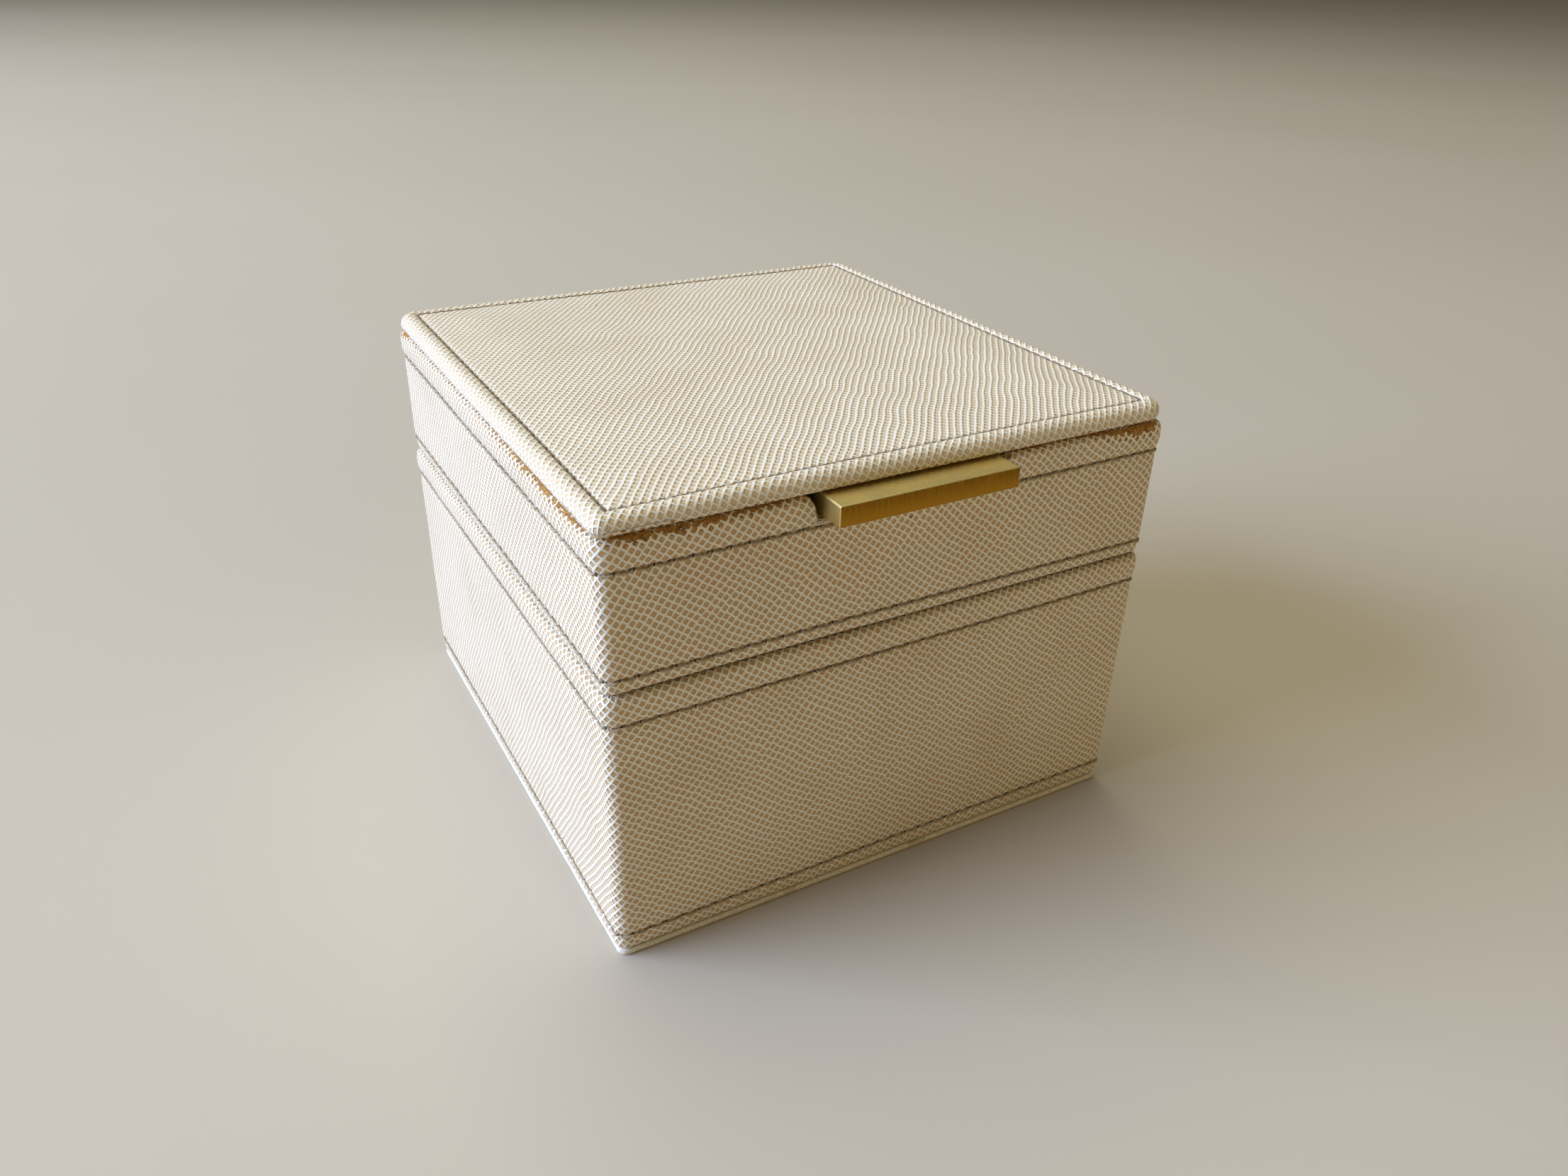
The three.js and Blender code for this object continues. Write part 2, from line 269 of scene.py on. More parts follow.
def join_up(bm):
    """Joins the seam, closes the ends and turns the faces outwards."""
    bmesh.ops.remove_doubles(bm, verts=bm.verts[:], dist=0.004 * MM)
    bmesh.ops.dissolve_degenerate(bm, edges=bm.edges[:], dist=0.002 * MM)
    open_edges = [edge for edge in bm.edges if edge.is_boundary]
    if open_edges:
        bmesh.ops.holes_fill(bm, edges=open_edges, sides=0)
    bmesh.ops.recalc_face_normals(bm, faces=bm.faces[:])


# Covers of the walls

def wall_face(height, rim, seams):
    """How far in the cover's outer face lies at a height: it dips at each seam and swells over
    the foam between the upper seam and the rim."""
    inset = WALL_INSET + sum(sunk(height - seam, WALL_CREASE, WALL_DIP) for seam in seams)
    swell = clamp((height - seams[-1]) / (rim - seams[-1]))
    return inset - FOAM_SWELL * math.sin(math.pi * swell) ** 0.8


def wall_heights(low, high, seams):
    heights = [low]
    while heights[-1] < high - 0.05 * MM:
        nearest = min(abs(heights[-1] - seam) for seam in seams)
        step = 0.2 * MM if nearest < 0.8 * MM else 0.45 * MM if nearest < 2 * MM else 1.7 * MM
        heights.append(min(high, heights[-1] + step))
    return heights


def wall_section(tier):
    """The section of a wall's cover, as (inset, height, distance across the skin)."""
    _, _, hem, rim, seams = tier
    hem_round = 0.6 * MM
    tuck = 0.24 * MM
    outside = [
        (WALL_INSET + tuck + hem_round, hem),
        (WALL_INSET + tuck + 0.18 * MM, hem + 0.15 * MM),
    ]
    outside += [(wall_face(z, rim, seams) + tuck * hump(z - hem - hem_round, 1.1 * MM), z)
                for z in wall_heights(hem + hem_round, rim - RIM_ROUND, seams)]
    shoulder_x = outside[-1][0] + RIM_ROUND
    outside += arc((shoulder_x, rim - RIM_ROUND), RIM_ROUND, 180, 90, 9)[1:]
    outside += arc((FOLD_INNER - RIM_ROUND, rim - RIM_ROUND), RIM_ROUND, 90, 0, 6)
    outside += [(FOLD_INNER, rim - 4 * MM), (FOLD_INNER, rim - FOLD_DEPTH)]
    behind = [
        (FOLD_OUTER, rim - FOLD_DEPTH),
        (FOLD_OUTER, rim - 1.6 * MM),
        (FOLD_OUTER - 0.6 * MM, rim - SKIN),
        (WALL_INSET + SKIN + 0.6 * MM, rim - SKIN),
        (WALL_INSET + SKIN, rim - 1.6 * MM),
        (WALL_INSET + SKIN, (hem + rim) / 2),
        (WALL_INSET + SKIN, hem + 0.6 * MM),
    ]
    points = []
    across = outside[0][1]
    last = outside[0]
    for point in outside + behind:
        across += math.dist(last, point)
        on_wall = point[0] < 1 * MM and point in outside
        across = point[1] if on_wall and point[1] <= rim - RIM_ROUND else across
        points.append((*point, across))
        last = point
    return points


def stitch_pull(stitches):
    """1 at a needle hole and -1 half way along a stitch."""
    return math.cos(2 * math.pi * stitches)


def clear_of_join(along, total):
    """Falls to 0 at the back, where the two ends of a cover meet and have to match."""
    return smooth(0, 6 * MM, along) * smooth(0, 6 * MM, total - along)


def pinch_seams(bm, along, total, seams, seed):
    """Draws a wall's cover in at every needle hole, makes the whole of it a little uneven and
    grooves it where its ends meet."""
    for vert in bm.verts:
        u, inset, z = vert[along], vert.co.y, vert.co.z
        if inset > 2.5 * MM:
            continue
        pull = stitch_pull(u * WALL_STITCHES / total)
        for seam in seams:
            away = z - seam
            inset += 0.07 * MM * pull * hump(away, 0.7 * MM)
            inset -= 0.05 * MM * pull * hump(away - 1.1 * MM, 0.8 * MM)
        free = clear_of_join(u, total)
        inset += free * 0.1 * MM * wander(u, z, seed, 16 * MM)
        inset += free * 0.04 * MM * wander(u, z, seed + 9, 5 * MM)
        inset += JOIN_GROOVE * (hump(u, 0.4 * MM) + hump(total - u, 0.4 * MM))
        vert.co.y = inset
        vert.co.z = z + free * 0.05 * MM * wander(u, inset, seed + 4, 12 * MM)


def wrap_round(bm, along, outline):
    for vert in bm.verts:
        vert.co.xy = outline.at(vert[along], vert.co.y)


def notch_drop(x):
    """How much of the rim's height is gone at x, where the cover dips under the pull tab."""
    past = abs(x) - NOTCH_HALF
    if past >= NOTCH_ROUND:
        return 0.0
    depth = TRAY.rim - (TAB_LOW.z - 0.35 * MM)
    if past <= 0:
        return depth
    curve = NOTCH_ROUND - math.sqrt(NOTCH_ROUND ** 2 - (NOTCH_ROUND - past) ** 2)
    return min(depth, curve + (depth - NOTCH_ROUND) * smooth(0.5 * MM, 0, past))


def cut_notch(bm):
    depth_limit = FRONT + FOLD_INNER + 0.4 * MM
    seam = TRAY.seams[1] + 0.2 * MM
    for vert in bm.verts:
        x, y, z = vert.co
        if y > depth_limit or z < seam or abs(x) > NOTCH_HALF + NOTCH_ROUND:
            continue
        vert.co.z = z - notch_drop(x) * clamp((z - seam) / (TRAY.rim - seam))


def peeled_reach(x, y):
    """How far down from the rim's shoulder the printed film has gone, at a place on the outline.
    It is gone beside the near corner and at the right corner of the front, and along the near
    half of the left wall."""
    if y < FRONT + 5 * MM:
        from_left = x - LEFT
        from_right = RIGHT - x
        near = 1.25 * MM * smooth(34 * MM, 15 * MM, from_left) * smooth(0, 6 * MM, from_left)
        right = 1.9 * MM * smooth(22 * MM, 6 * MM, from_right) * smooth(1 * MM, 4 * MM, from_right)
        return max(near, right) - 0.75 * MM
    if x < LEFT + 5 * MM:
        near = 1.0 * MM * smooth(56 * MM, 38 * MM, y - FRONT) * smooth(0, 4 * MM, y - FRONT)
        far = 1.4 * MM * smooth(9 * MM, 3 * MM, BACK - y)
        return max(near, far) - 0.85 * MM
    return -1 * MM


def mark_peeling(bm, across, rim):
    """Millimetres inside the peeled strip of the rim, below zero outside it."""
    layer = bm.verts.layers.float.new("peeled")
    for vert in bm.verts:
        x, y, z = vert.co
        down = (rim - 0.9 * MM) - vert[across]
        worn_side = y < FRONT + 5 * MM or x < LEFT + 5 * MM
        inside = min(peeled_reach(x, y) - down, 2.2 * MM + down)
        vert[layer] = inside / MM if worn_side and z > rim - 6 * MM else NOT_PEELED


def mark_lid_edge(bm):
    """The film is also gone along the lid's lower edge, in front and on the left; the band painted there is
    partly painted shade under that edge.
    """
    layer = bm.verts.layers.float.new("peeled")
    for vert in bm.verts:
        x, y, z = vert.co
        worn_side = y < FRONT + 9 * MM or x < LEFT + 9 * MM
        vert[layer] = (LID_UNDER + 0.4 * MM - z) / MM if worn_side else NOT_PEELED


def add_wall_cover(tier, seed, notched=False):
    outline = Outline((WALL_CORNER,) * 4)
    ends = [outline.front_middle() + side * (NOTCH_HALF + 0.8 * MM) for side in (-1, 1)]
    fine = [(end, 2 * MM) for end in ends] if notched else ()
    bm, along, across = sweep(wall_section(tier), outline.stations(0.6 * MM, 0.47 * MM, fine), closed=True)
    pitch = outline.length / WALL_STITCHES
    set_map(bm, "skin", lambda vert: (vert[along], vert[across]))
    set_map(bm, "sewing", lambda vert: (vert[along] / pitch, vert[across] / MM))
    pinch_seams(bm, along, outline.length, tier.seams, seed)
    wrap_round(bm, along, outline)
    if notched:
        cut_notch(bm)
    join_up(bm)
    if notched:
        mark_peeling(bm, across, tier.rim)
    name = tier.name + "_skin"
    material = leatherette(name + "_leatherette", tier.seams, peels=notched)
    make_piece(bm, name, material, tier.body, [tier.name + "_cover"])


# The lid's cover

def lid_section():
    """From the middle of the cover's inner side, out round the lid's edge and over its top to
    the middle, as (inset, height, distance from the outline on the flat skin)."""
    under = [
        (51.5 * MM, LID_TOP - SKIN - 0.25 * MM),
        (30 * MM, LID_TOP - SKIN - 0.25 * MM),
        (8 * MM, LID_TOP - SKIN - 0.3 * MM),
        (2 * MM, LID_TOP - SKIN - 0.3 * MM),
        (1.2 * MM, LID_TOP - 1.7 * MM),
        (1.2 * MM, LID_UNDER + 0.8 * MM),
        (2 * MM, LID_UNDER + 0.68 * MM),
        (9 * MM, LID_UNDER + 0.68 * MM),
        (9.1 * MM, LID_UNDER + 0.3 * MM),
        (8.9 * MM, LID_UNDER + 0.05 * MM),
    ]
    low_round, high_round = 1.0 * MM, 2.0 * MM
    edge = [(6 * MM, LID_UNDER), (3 * MM, LID_UNDER)]
    edge += arc((LID_EDGE_INSET + low_round, LID_UNDER + low_round), low_round, 270, 180, 7)
    high_centre = (LID_EDGE_INSET + high_round, lid_face(LID_EDGE_INSET + high_round) - high_round)
    edge += arc(high_centre, high_round, 178, 96, 9)
    steps = [-1.1, -0.8, -0.6, -0.45, -0.32, -0.22, -0.12, 0, 0.12, 0.22, 0.34, 0.5, 0.75, 1.1, 1.6,
             2.3, 3.3, 4.6, 6.3, 8.4, 11, 14.5, 19, 24, 30, 36, 42, 48]
    top = [(LID_SEAM + step * MM, lid_face(LID_SEAM + step * MM)) for step in steps]
    outside = edge + top
    distances = [0.0]
    for a, b in zip(outside, outside[1:]):
        distances.append(distances[-1] + math.dist(a, b))
    at_seam = distances[len(edge) + steps.index(0)]
    points = [(*point, point[0]) for point in under]
    points += [(*point, distance - at_seam + LID_SEAM) for point, distance in zip(outside, distances)]
    return points


def lid_face(inset):
    """Height of the lid's skin: a soft roll along the edge, the seam, and the padded panel."""
    roll = LID_TOP - 0.35 * MM - 0.03 * MM * ((inset - 2.1 * MM) / MM) ** 2
    panel = LID_TOP - 0.5 * MM + 0.5 * MM * smooth(LID_SEAM, 15 * MM, inset)
    height = roll + (panel - roll) * smooth(LID_SEAM - 0.4 * MM, LID_SEAM + 0.4 * MM, inset)
    return height - sunk(inset - LID_SEAM, LID_CREASE, LID_DIP)


def lid_side_count(x, y):
    """Stitches along a side of the lid, counted from the middle of that side."""
    half_x = (RIGHT - LEFT) / 2 - LID_SEAM
    half_y = (BACK - FRONT) / 2 - LID_SEAM
    middle_y = (FRONT + BACK) / 2
    on_end = min(y - FRONT, BACK - y) < min(x - LEFT, RIGHT - x)
    if on_end:
        return x / half_x * LID_HALF_STITCHES[0]
    return (y - middle_y) / half_y * LID_HALF_STITCHES[1]


def corner_sag(x, y):
    """The lid has softened towards its near left corner."""
    return 0.3 * MM * hump(math.hypot(x - LEFT, y - FRONT), 22 * MM)


def puff_lid(bm):
    for vert in bm.verts:
        x, y, z = vert.co
        inset = min(x - LEFT, RIGHT - x, y - FRONT, BACK - y)
        if z < LID_UNDER + 1.2 * MM or (inset > 1 * MM and z < LID_TOP - 1.3 * MM):
            continue
        pull = stitch_pull(lid_side_count(x, y))
        away = inset - LID_SEAM
        z -= 0.09 * MM * pull * hump(away, 0.6 * MM)
        z += 0.07 * MM * pull * hump(away + 1.1 * MM, 0.7 * MM)
        z += 0.16 * MM * wander(x, y, 3.3, 30 * MM) * smooth(5 * MM, 12 * MM, inset)
        z += 0.05 * MM * wander(x, y, 6.1, 7 * MM)
        z -= corner_sag(x, y)
        vert.co.z = z


def add_lid_cover():
    outline = Outline(LID_CORNERS)
    bm, along, across = sweep(lid_section(), outline.stations(0.7 * MM, 0.5 * MM), closed=False)
    set_map(bm, "skin", lambda vert: outline.at(vert[along], vert[across]))
    wrap_round(bm, along, outline)
    set_map(bm, "sewing", lambda vert: (lid_side_count(vert.co.x, vert.co.y), vert[across] / MM))
    join_up(bm)
    puff_lid(bm)
    mark_lid_edge(bm)
    material = leatherette("lid_leatherette", (LID_SEAM,), peels=True, lid=True)
    make_piece(bm, "lid_skin", material, "lid", ["lid_cover"])


# Stitching

def stitch_mesh():
    """One stitch of two-ply thread, a unit long along X, +Y down the seam and +Z out of it."""
    bm = bmesh.new()
    bmesh.ops.create_circle(bm, segments=6, radius=1, cap_ends=False)
    bmesh.ops.rotate(bm, verts=bm.verts[:], matrix=Matrix.Rotation(math.pi / 2, 3, "Y"))
    bmesh.ops.scale(bm, vec=(1, 0.26 * MM, 0.18 * MM), verts=bm.verts[:])
    bmesh.ops.translate(bm, vec=(-0.5, 0, 0), verts=bm.verts[:])
    steps = 8
    bmesh.ops.spin(bm, geom=bm.verts[:] + bm.edges[:], cent=(0, 0, 0), axis=(1, 0, 0),
                   dvec=(1 / steps, 0, 0), angle=math.radians(400), steps=steps, use_duplicate=False)
    bmesh.ops.holes_fill(bm, edges=bm.edges[:], sides=0)
    bmesh.ops.recalc_face_normals(bm, faces=bm.faces[:])
    for vert in bm.verts:
        x = vert.co.x
        end = 1 - (2 * abs(x)) ** 2
        thin = 0.45 + 0.55 * smooth(0, 0.35, end)
        vert.co.x = x * 0.93
        vert.co.y = vert.co.y * thin + 0.3 * MM * end
        vert.co.z = vert.co.z * thin - 0.45 * MM * (1 - smooth(0, 0.45, end))
    mesh = bpy.data.meshes.new("stitch")
    bm.to_mesh(mesh)
    bm.free()
    return mesh


STITCH = stitch_mesh()


def sew(bm, count, pitch, place, start=0.0, seed=0, mirrored=False):
    """Adds a row of stitches to a new mesh; place(along, down, out) gives a point of the seam, and
    mirrored is for places that turn the stitches inside out."""
    for k in range(count):
        before = len(bm.verts)
        bm.from_mesh(STITCH)
        bm.verts.ensure_lookup_table()
        slack = 1 + 0.35 * wander(k, seed, 2.5, 1.7)
        for vert in bm.verts[before:]:
            x, y, z = vert.co
            vert.co = place(start + (k + 0.5 + x) * pitch, y * slack, z)
    if mirrored:
        bmesh.ops.reverse_faces(bm, faces=bm.faces[:])


def add_wall_stitching(tier):
    outline = Outline((WALL_CORNER,) * 4)
    for row, seam in zip(("hem", "rim"), tier.seams):
        bm = bmesh.new()

        def place(along, down, out):
            x, y = outline.at(along, WALL_INSET + WALL_THREAD_DEPTH - out)
            return x, y, seam - down

        sew(bm, WALL_STITCHES, outline.length / WALL_STITCHES, place, seed=seam / MM, mirrored=True)
        make_piece(bm, f"{tier.name}_{row}_thread", taupe_thread(), tier.body,
                   [f"{tier.name}_{row}_stitching"])


def add_lid_stitching():
    bm = bmesh.new()
    low = Vector((LEFT + LID_SEAM, FRONT + LID_SEAM))
    high = Vector((RIGHT - LID_SEAM, BACK - LID_SEAM))
    corners = [low, Vector((high.x, low.y)), high, Vector((low.x, high.y))]
    surface = lid_face(LID_SEAM) + LID_THREAD_RISE
    for i, corner in enumerate(corners):
        way = corners[(i + 1) % 4] - corner
        length = way.length
        way.normalize()
        inward = Vector((-way.y, way.x))
        count = 2 * LID_HALF_STITCHES[i % 2]

        def place(along, down, out):
            flat = corner + way * along - inward * (down - 0.1 * MM) * 0.35
            return flat.x, flat.y, surface + 0.8 * out - corner_sag(flat.x, flat.y)

        sew(bm, count, length / count, place, seed=i)
    bmesh.ops.reverse_faces(bm, faces=bm.faces[:])
    make_piece(bm, "lid_thread", brown_thread(), "lid", ["lid_stitching"])


# Solid forms

def round_off(bm, edges, width, segments):
    bmesh.ops.bevel(bm, geom=edges, offset=width, offset_type="OFFSET", affect="EDGES",
                    segments=segments, profile=0.5, material=-1, clamp_overlap=True)


def block(low, high, corner, edge, segments):
    """A block with round upright corners, and with the edges softened where its faces turn by
    more than 50 degrees."""
    bm = bmesh.new()
    bmesh.ops.create_cube(bm, size=1)
    bmesh.ops.scale(bm, vec=Vector(high) - Vector(low), verts=bm.verts[:])
    bmesh.ops.translate(bm, vec=(Vector(high) + Vector(low)) / 2, verts=bm.verts[:])
    if corner:
        upright = [e for e in bm.edges if abs(e.verts[0].co.z - e.verts[1].co.z) > 0.01 * MM]
        round_off(bm, upright, corner, 5)
    sharp = [e for e in bm.edges if len(e.link_faces) == 2 and e.calc_face_angle() > math.radians(50)]
    round_off(bm, sharp, edge, segments)
    return bm


def slice_up(bm, axis, places):
    """Cuts everything across at the given places along an axis, so that it can be shaped."""
    for place in places:
        point = [0, 0, 0]
        normal = [0, 0, 0]
        point[axis] = place
        normal[axis] = 1
        bmesh.ops.bisect_plane(bm, geom=bm.verts[:] + bm.edges[:] + bm.faces[:], dist=1e-7,
                               plane_co=point, plane_no=normal)


def spread(low, high, edge, step):
    """Places from low to high, closer together near both ends."""
    near = [edge * k for k in (0.12, 0.35, 0.65, 1.0)]
    count = max(1, round((high - low - 2 * edge) / step))
    middle = [low + edge + (high - low - 2 * edge) * i / count for i in range(1, count)]
    return [low + n for n in near] + middle + [high - n for n in reversed(near)]


def pad_form(low, high, edge, crown, face_up=True, gap=None, furrows=()):
    """A thin pad with a full edge and a crowned face. gap is a rectangle left out of it, and each
    furrow (axis, place, from, to) is pressed into it where something stands on it."""
    bm = bmesh.new()
    bmesh.ops.create_grid(bm, x_segments=1, y_segments=1, size=0.5)
    bmesh.ops.scale(bm, vec=(high.x - low.x, high.y - low.y, 1), verts=bm.verts[:])
    bmesh.ops.translate(bm, vec=((low.x + high.x) / 2, (low.y + high.y) / 2, 0), verts=bm.verts[:])
    for axis in (X, Y):
        slice_up(bm, axis, spread(low[axis], high[axis], edge, 2.6 * MM))
    if gap:
        (x0, y0), (x1, y1) = gap
        slice_up(bm, X, [x0 - edge, x0 - 0.4 * edge, x0, x1, x1 + 0.4 * edge, x1 + edge])
        slice_up(bm, Y, [y1, y1 + 0.4 * edge, y1 + edge])
        centres = {face: face.calc_center_median() for face in bm.faces}
        inside = [face for face, centre in centres.items() if x0 < centre.x < x1 and centre.y < y1]
        bmesh.ops.delete(bm, geom=inside, context="FACES")
    for axis, place, _, _ in furrows:
        slice_up(bm, axis, [place + away * MM for away in (-2.4, -1.4, 0, 1.4, 2.4)])
    made = bmesh.ops.extrude_face_region(bm, geom=bm.faces[:])["geom"]
    back = {v for v in made if isinstance(v, bmesh.types.BMVert)}
    thickness = high.z - low.z
    for vert in bm.verts:
        x, y, _ = vert.co
        away = min(x - low.x, high.x - x, y - low.y, high.y - y)
        if gap:
            (x0, y0), (x1, y1) = gap
            away = min(away, math.hypot(max(x0 - x, 0, x - x1), max(0, y - y1)))
        full = clamp(away / edge)
        rise = (thickness - crown) * (0.25 + 0.75 * math.sqrt(1 - (1 - full) ** 2))
        rise += crown * smooth(0, 14 * MM, away) * (0.8 + 0.2 * wander(x, y, 2.2, 20 * MM))
        for axis, place, start, end in furrows:
            across, run = (x, y) if axis == X else (y, x)
            if start < run < end:
                rise -= 0.45 * MM * hump(across - place, 2.2 * MM)
        if vert in back:
            vert.co.z = low.z if face_up else high.z
        else:
            vert.co.z = low.z + rise if face_up else high.z - rise
    bmesh.ops.recalc_face_normals(bm, faces=bm.faces[:])
    return bm


def add_velvet(name, body, bm, *nodes, fill=None):
    piece = make_piece(bm, name, velvet(), body, nodes)
    return piece


# Inside

def add_wall_lining(tier):
    """Velvet over card, standing inside the four walls and tucked under the cover's fold."""
    lining = tier.name + "_wall_lining"
    low, high = (corner.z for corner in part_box(lining))
    outline = Outline((WALL_CORNER,) * 4)
    heights = [low + (high - 0.4 * MM - low) * i / 10 for i in range(11)]
    points = [(FOLD_INNER, z, z) for z in heights]
    points += [(FOLD_INNER - 0.12 * MM, high - 0.1 * MM, high), (FOLD_INNER - 0.4 * MM, high, high)]
    points += [(FOLD_OUTER, high, high), (FOLD_OUTER, low, low)]
    bm, along, _ = sweep(points, outline.stations(2.4 * MM, 0.9 * MM), closed=True)
    wrap_round(bm, along, outline)
    join_up(bm)
    add_velvet(tier.name + "_velvet_lining", tier.body, bm, lining)


def add_floor_pads():
    """Pads under the dividers, which press a furrow into them."""
    low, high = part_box("base_floor_pad")
    long_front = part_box("base_long_divider")[0].y
    furrows = [(Y, middle_of("base_long_divider", Y), low.x, high.x),
               (X, middle_of("base_short_divider", X), low.y, long_front)]
    bm = pad_form(low, high, 1.1 * MM, 0.35 * MM, furrows=furrows)
    add_velvet("base_velvet_floor", "base", bm, "base_floor_pad", fill=0.5)
    low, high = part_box("tray_floor_pad")
    long_middle = middle_of("tray_long_divider", X)
    furrows = [(X, long_middle, low.y, high.y)]
    for divider in ("tray_front_divider", "tray_back_divider"):
        furrows.append((Y, middle_of(divider, Y), long_middle, high.x))
    bm = pad_form(low, high, 1.1 * MM, 0.3 * MM, furrows=furrows)
    add_velvet("tray_velvet_floor", "upper_tray", bm, "tray_floor_pad", fill=0.5)


def add_dividers():
    """Velvet-covered cards, a little soft along their top edges."""
    for body, nodes in (("base", ("base_long_divider", "base_short_divider")),
                        ("upper_tray", ("tray_long_divider", "tray_front_divider", "tray_back_divider"))):
        for divider in nodes:
            low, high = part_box(divider)
            bm = block(low, high, 0.5 * MM, 1.1 * MM, 5)
            for axis in (X, Y):
                count = int((high[axis] - low[axis]) / (3 * MM))
                slice_up(bm, axis, [low[axis] + 3 * MM * i for i in range(1, count)])
            slice_up(bm, Z, [low.z + (high.z - low.z) * k / 6 for k in range(1, 6)])
            for vert in bm.verts:
                x, y, z = vert.co
                if z > low.z + 3 * MM:
                    slack = abs(wander(x + y, 0, 5.5, 14 * MM))
                    vert.co.z = z - 0.12 * MM * slack * smooth(low.z, high.z, z)
            add_velvet(divider + "_velvet", body, bm, divider)


def roll_form():
    """One ring roll at the first one's place: foam wrapped in velvet, pressed against its
    neighbours, with rounded shoulders and soft ends."""
    low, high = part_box("ring_roll_1")
    inner_low = low + Vector((0.35, 0.35, 0.2)) * MM
    inner_high = high - Vector((0.35, 0.35, 0.5)) * MM
    bm = block(inner_low, inner_high, 1.4 * MM, 1.2 * MM, 3)
    middle_y = (low.y + high.y) / 2
    half = (inner_high.y - inner_low.y) / 2
    slice_up(bm, X, spread(inner_low.x, inner_high.x, 2 * MM, 2.4 * MM))
    slice_up(bm, Y, [inner_low.y + 2 * half * k / 12 for k in range(1, 12)])
    slice_up(bm, Z, [inner_low.z + (inner_high.z - inner_low.z) * k / 9 for k in range(1, 9)])
    shoulder = inner_high.z - 5.2 * MM
    for vert in bm.verts:
        x, y, z = vert.co
        up = clamp((z - shoulder) / (inner_high.z - shoulder))
        vert.co.y = middle_y + (y - middle_y) * (1 - 0.42 * up ** 2.6)
        end = min(x - inner_low.x, inner_high.x - x)
        vert.co.z = z - 0.9 * MM * up * (1 - smooth(0, 3 * MM, end))
    return bm


def plump(bm, frames, pressure, cap):
    """Inflates a closed form as cloth, at a hundred times its size, where cloth is steady. No
    point is moved further than cap by it, and the form is smoothed a little afterwards."""
    scale = 100.0
    mesh = bpy.data.meshes.new("plump")
    bmesh.ops.triangulate(bm, faces=[f for f in bm.faces if len(f.verts) > 4])
    bmesh.ops.scale(bm, vec=(scale,) * 3, verts=bm.verts[:])
    bm.to_mesh(mesh)
    bm.free()
    form = bpy.data.objects.new("plump", mesh)
    scene = bpy.context.scene
    scene.collection.objects.link(form)
    cloth = form.modifiers.new("cloth", "CLOTH")
    cloth.settings.use_pressure = True
    cloth.settings.uniform_pressure_force = pressure
    cloth.settings.quality = 6
    cloth.settings.tension_stiffness = 25
    cloth.settings.compression_stiffness = 25
    cloth.settings.bending_stiffness = 4
    cloth.settings.effector_weights.gravity = 0
    for step in range(1, frames + 1):
        scene.frame_set(step)
    view = bpy.context.evaluated_depsgraph_get()
    blown = form.evaluated_get(view).to_mesh()
    moved = [v.co.copy() for v in blown.vertices]
    form.evaluated_get(view).to_mesh_clear()
    scene.frame_set(1)
    result = bmesh.new()
    result.from_mesh(mesh)
    for vert, target in zip(result.verts, moved):
        shift = (target - vert.co) / scale
        if shift.length > cap:
            shift = shift.normalized() * cap
        vert.co = vert.co / scale + shift
    bpy.data.objects.remove(form)
    bpy.data.meshes.remove(mesh)
    bmesh.ops.smooth_vert(result, verts=result.verts[:], factor=0.35, use_axis_x=True,
                          use_axis_y=True, use_axis_z=True)
    return result


def add_ring_rolls():
    form = roll_form()
    form = plump(form, 18, 2.5, 0.55 * MM)
    pattern = bpy.data.meshes.new("ring_roll_pattern")
    form.to_mesh(pattern)
    form.free()
    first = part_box("ring_roll_1")[0]
    for number in range(1, 8):
        name = f"ring_roll_{number}"
        low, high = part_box(name)
        bm = bmesh.new()
        bm.from_mesh(pattern)
        for vert in bm.verts:
            x, y, z = vert.co + low - first
            rise = smooth(low.z, high.z, z)
            x += 0.25 * MM * wander(number, z, 1.5, 4 * MM) * rise
            z += 0.3 * MM * wander(x, number, 8.5, 12 * MM) * rise
            vert.co = x, y, min(z, high.z)
        add_velvet(name + "_velvet", "upper_tray", bm, name, fill=0.85)
    bpy.data.meshes.remove(pattern)


def add_plinth():
    low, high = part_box("tray_plinth")
    bm = block(low, high, 1.6 * MM, 0.7 * MM, 4)
    add_velvet("plinth_velvet", "upper_tray", bm, "tray_plinth")


def add_lid_foam():
    """The foam under the lid's cover, pressed a little thinner than it was cut."""
    low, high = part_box("lid_foam")
    pressed = Vector((high.x, high.y, high.z - 0.42 * MM))
    bm = block(low, pressed, 3 * MM, 0.08 * MM, 2)
    make_piece(bm, "lid_foam_sheet", foam(), "lid", ["lid_foam"])


def add_lid_lining():
    low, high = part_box("lid_lining_pad")
    flange_half = 15.2 * MM
    gap = ((-flange_half, low.y), (flange_half, TAB_HIGH.y + 0.7 * MM))
    bm = pad_form(low, high, 1.2 * MM, 0.5 * MM, face_up=False, gap=gap)
    add_velvet("lid_velvet_pad", "lid", bm, "lid_lining_pad", fill=0.7)


# Fittings

def add_bottom_panel():
    low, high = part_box("bottom_panel")
    bm = block(low, high, 1.7 * MM, 0.35 * MM, 3)
    make_piece(bm, "bottom_plate", panel_paper(), "base", ["bottom_panel"])


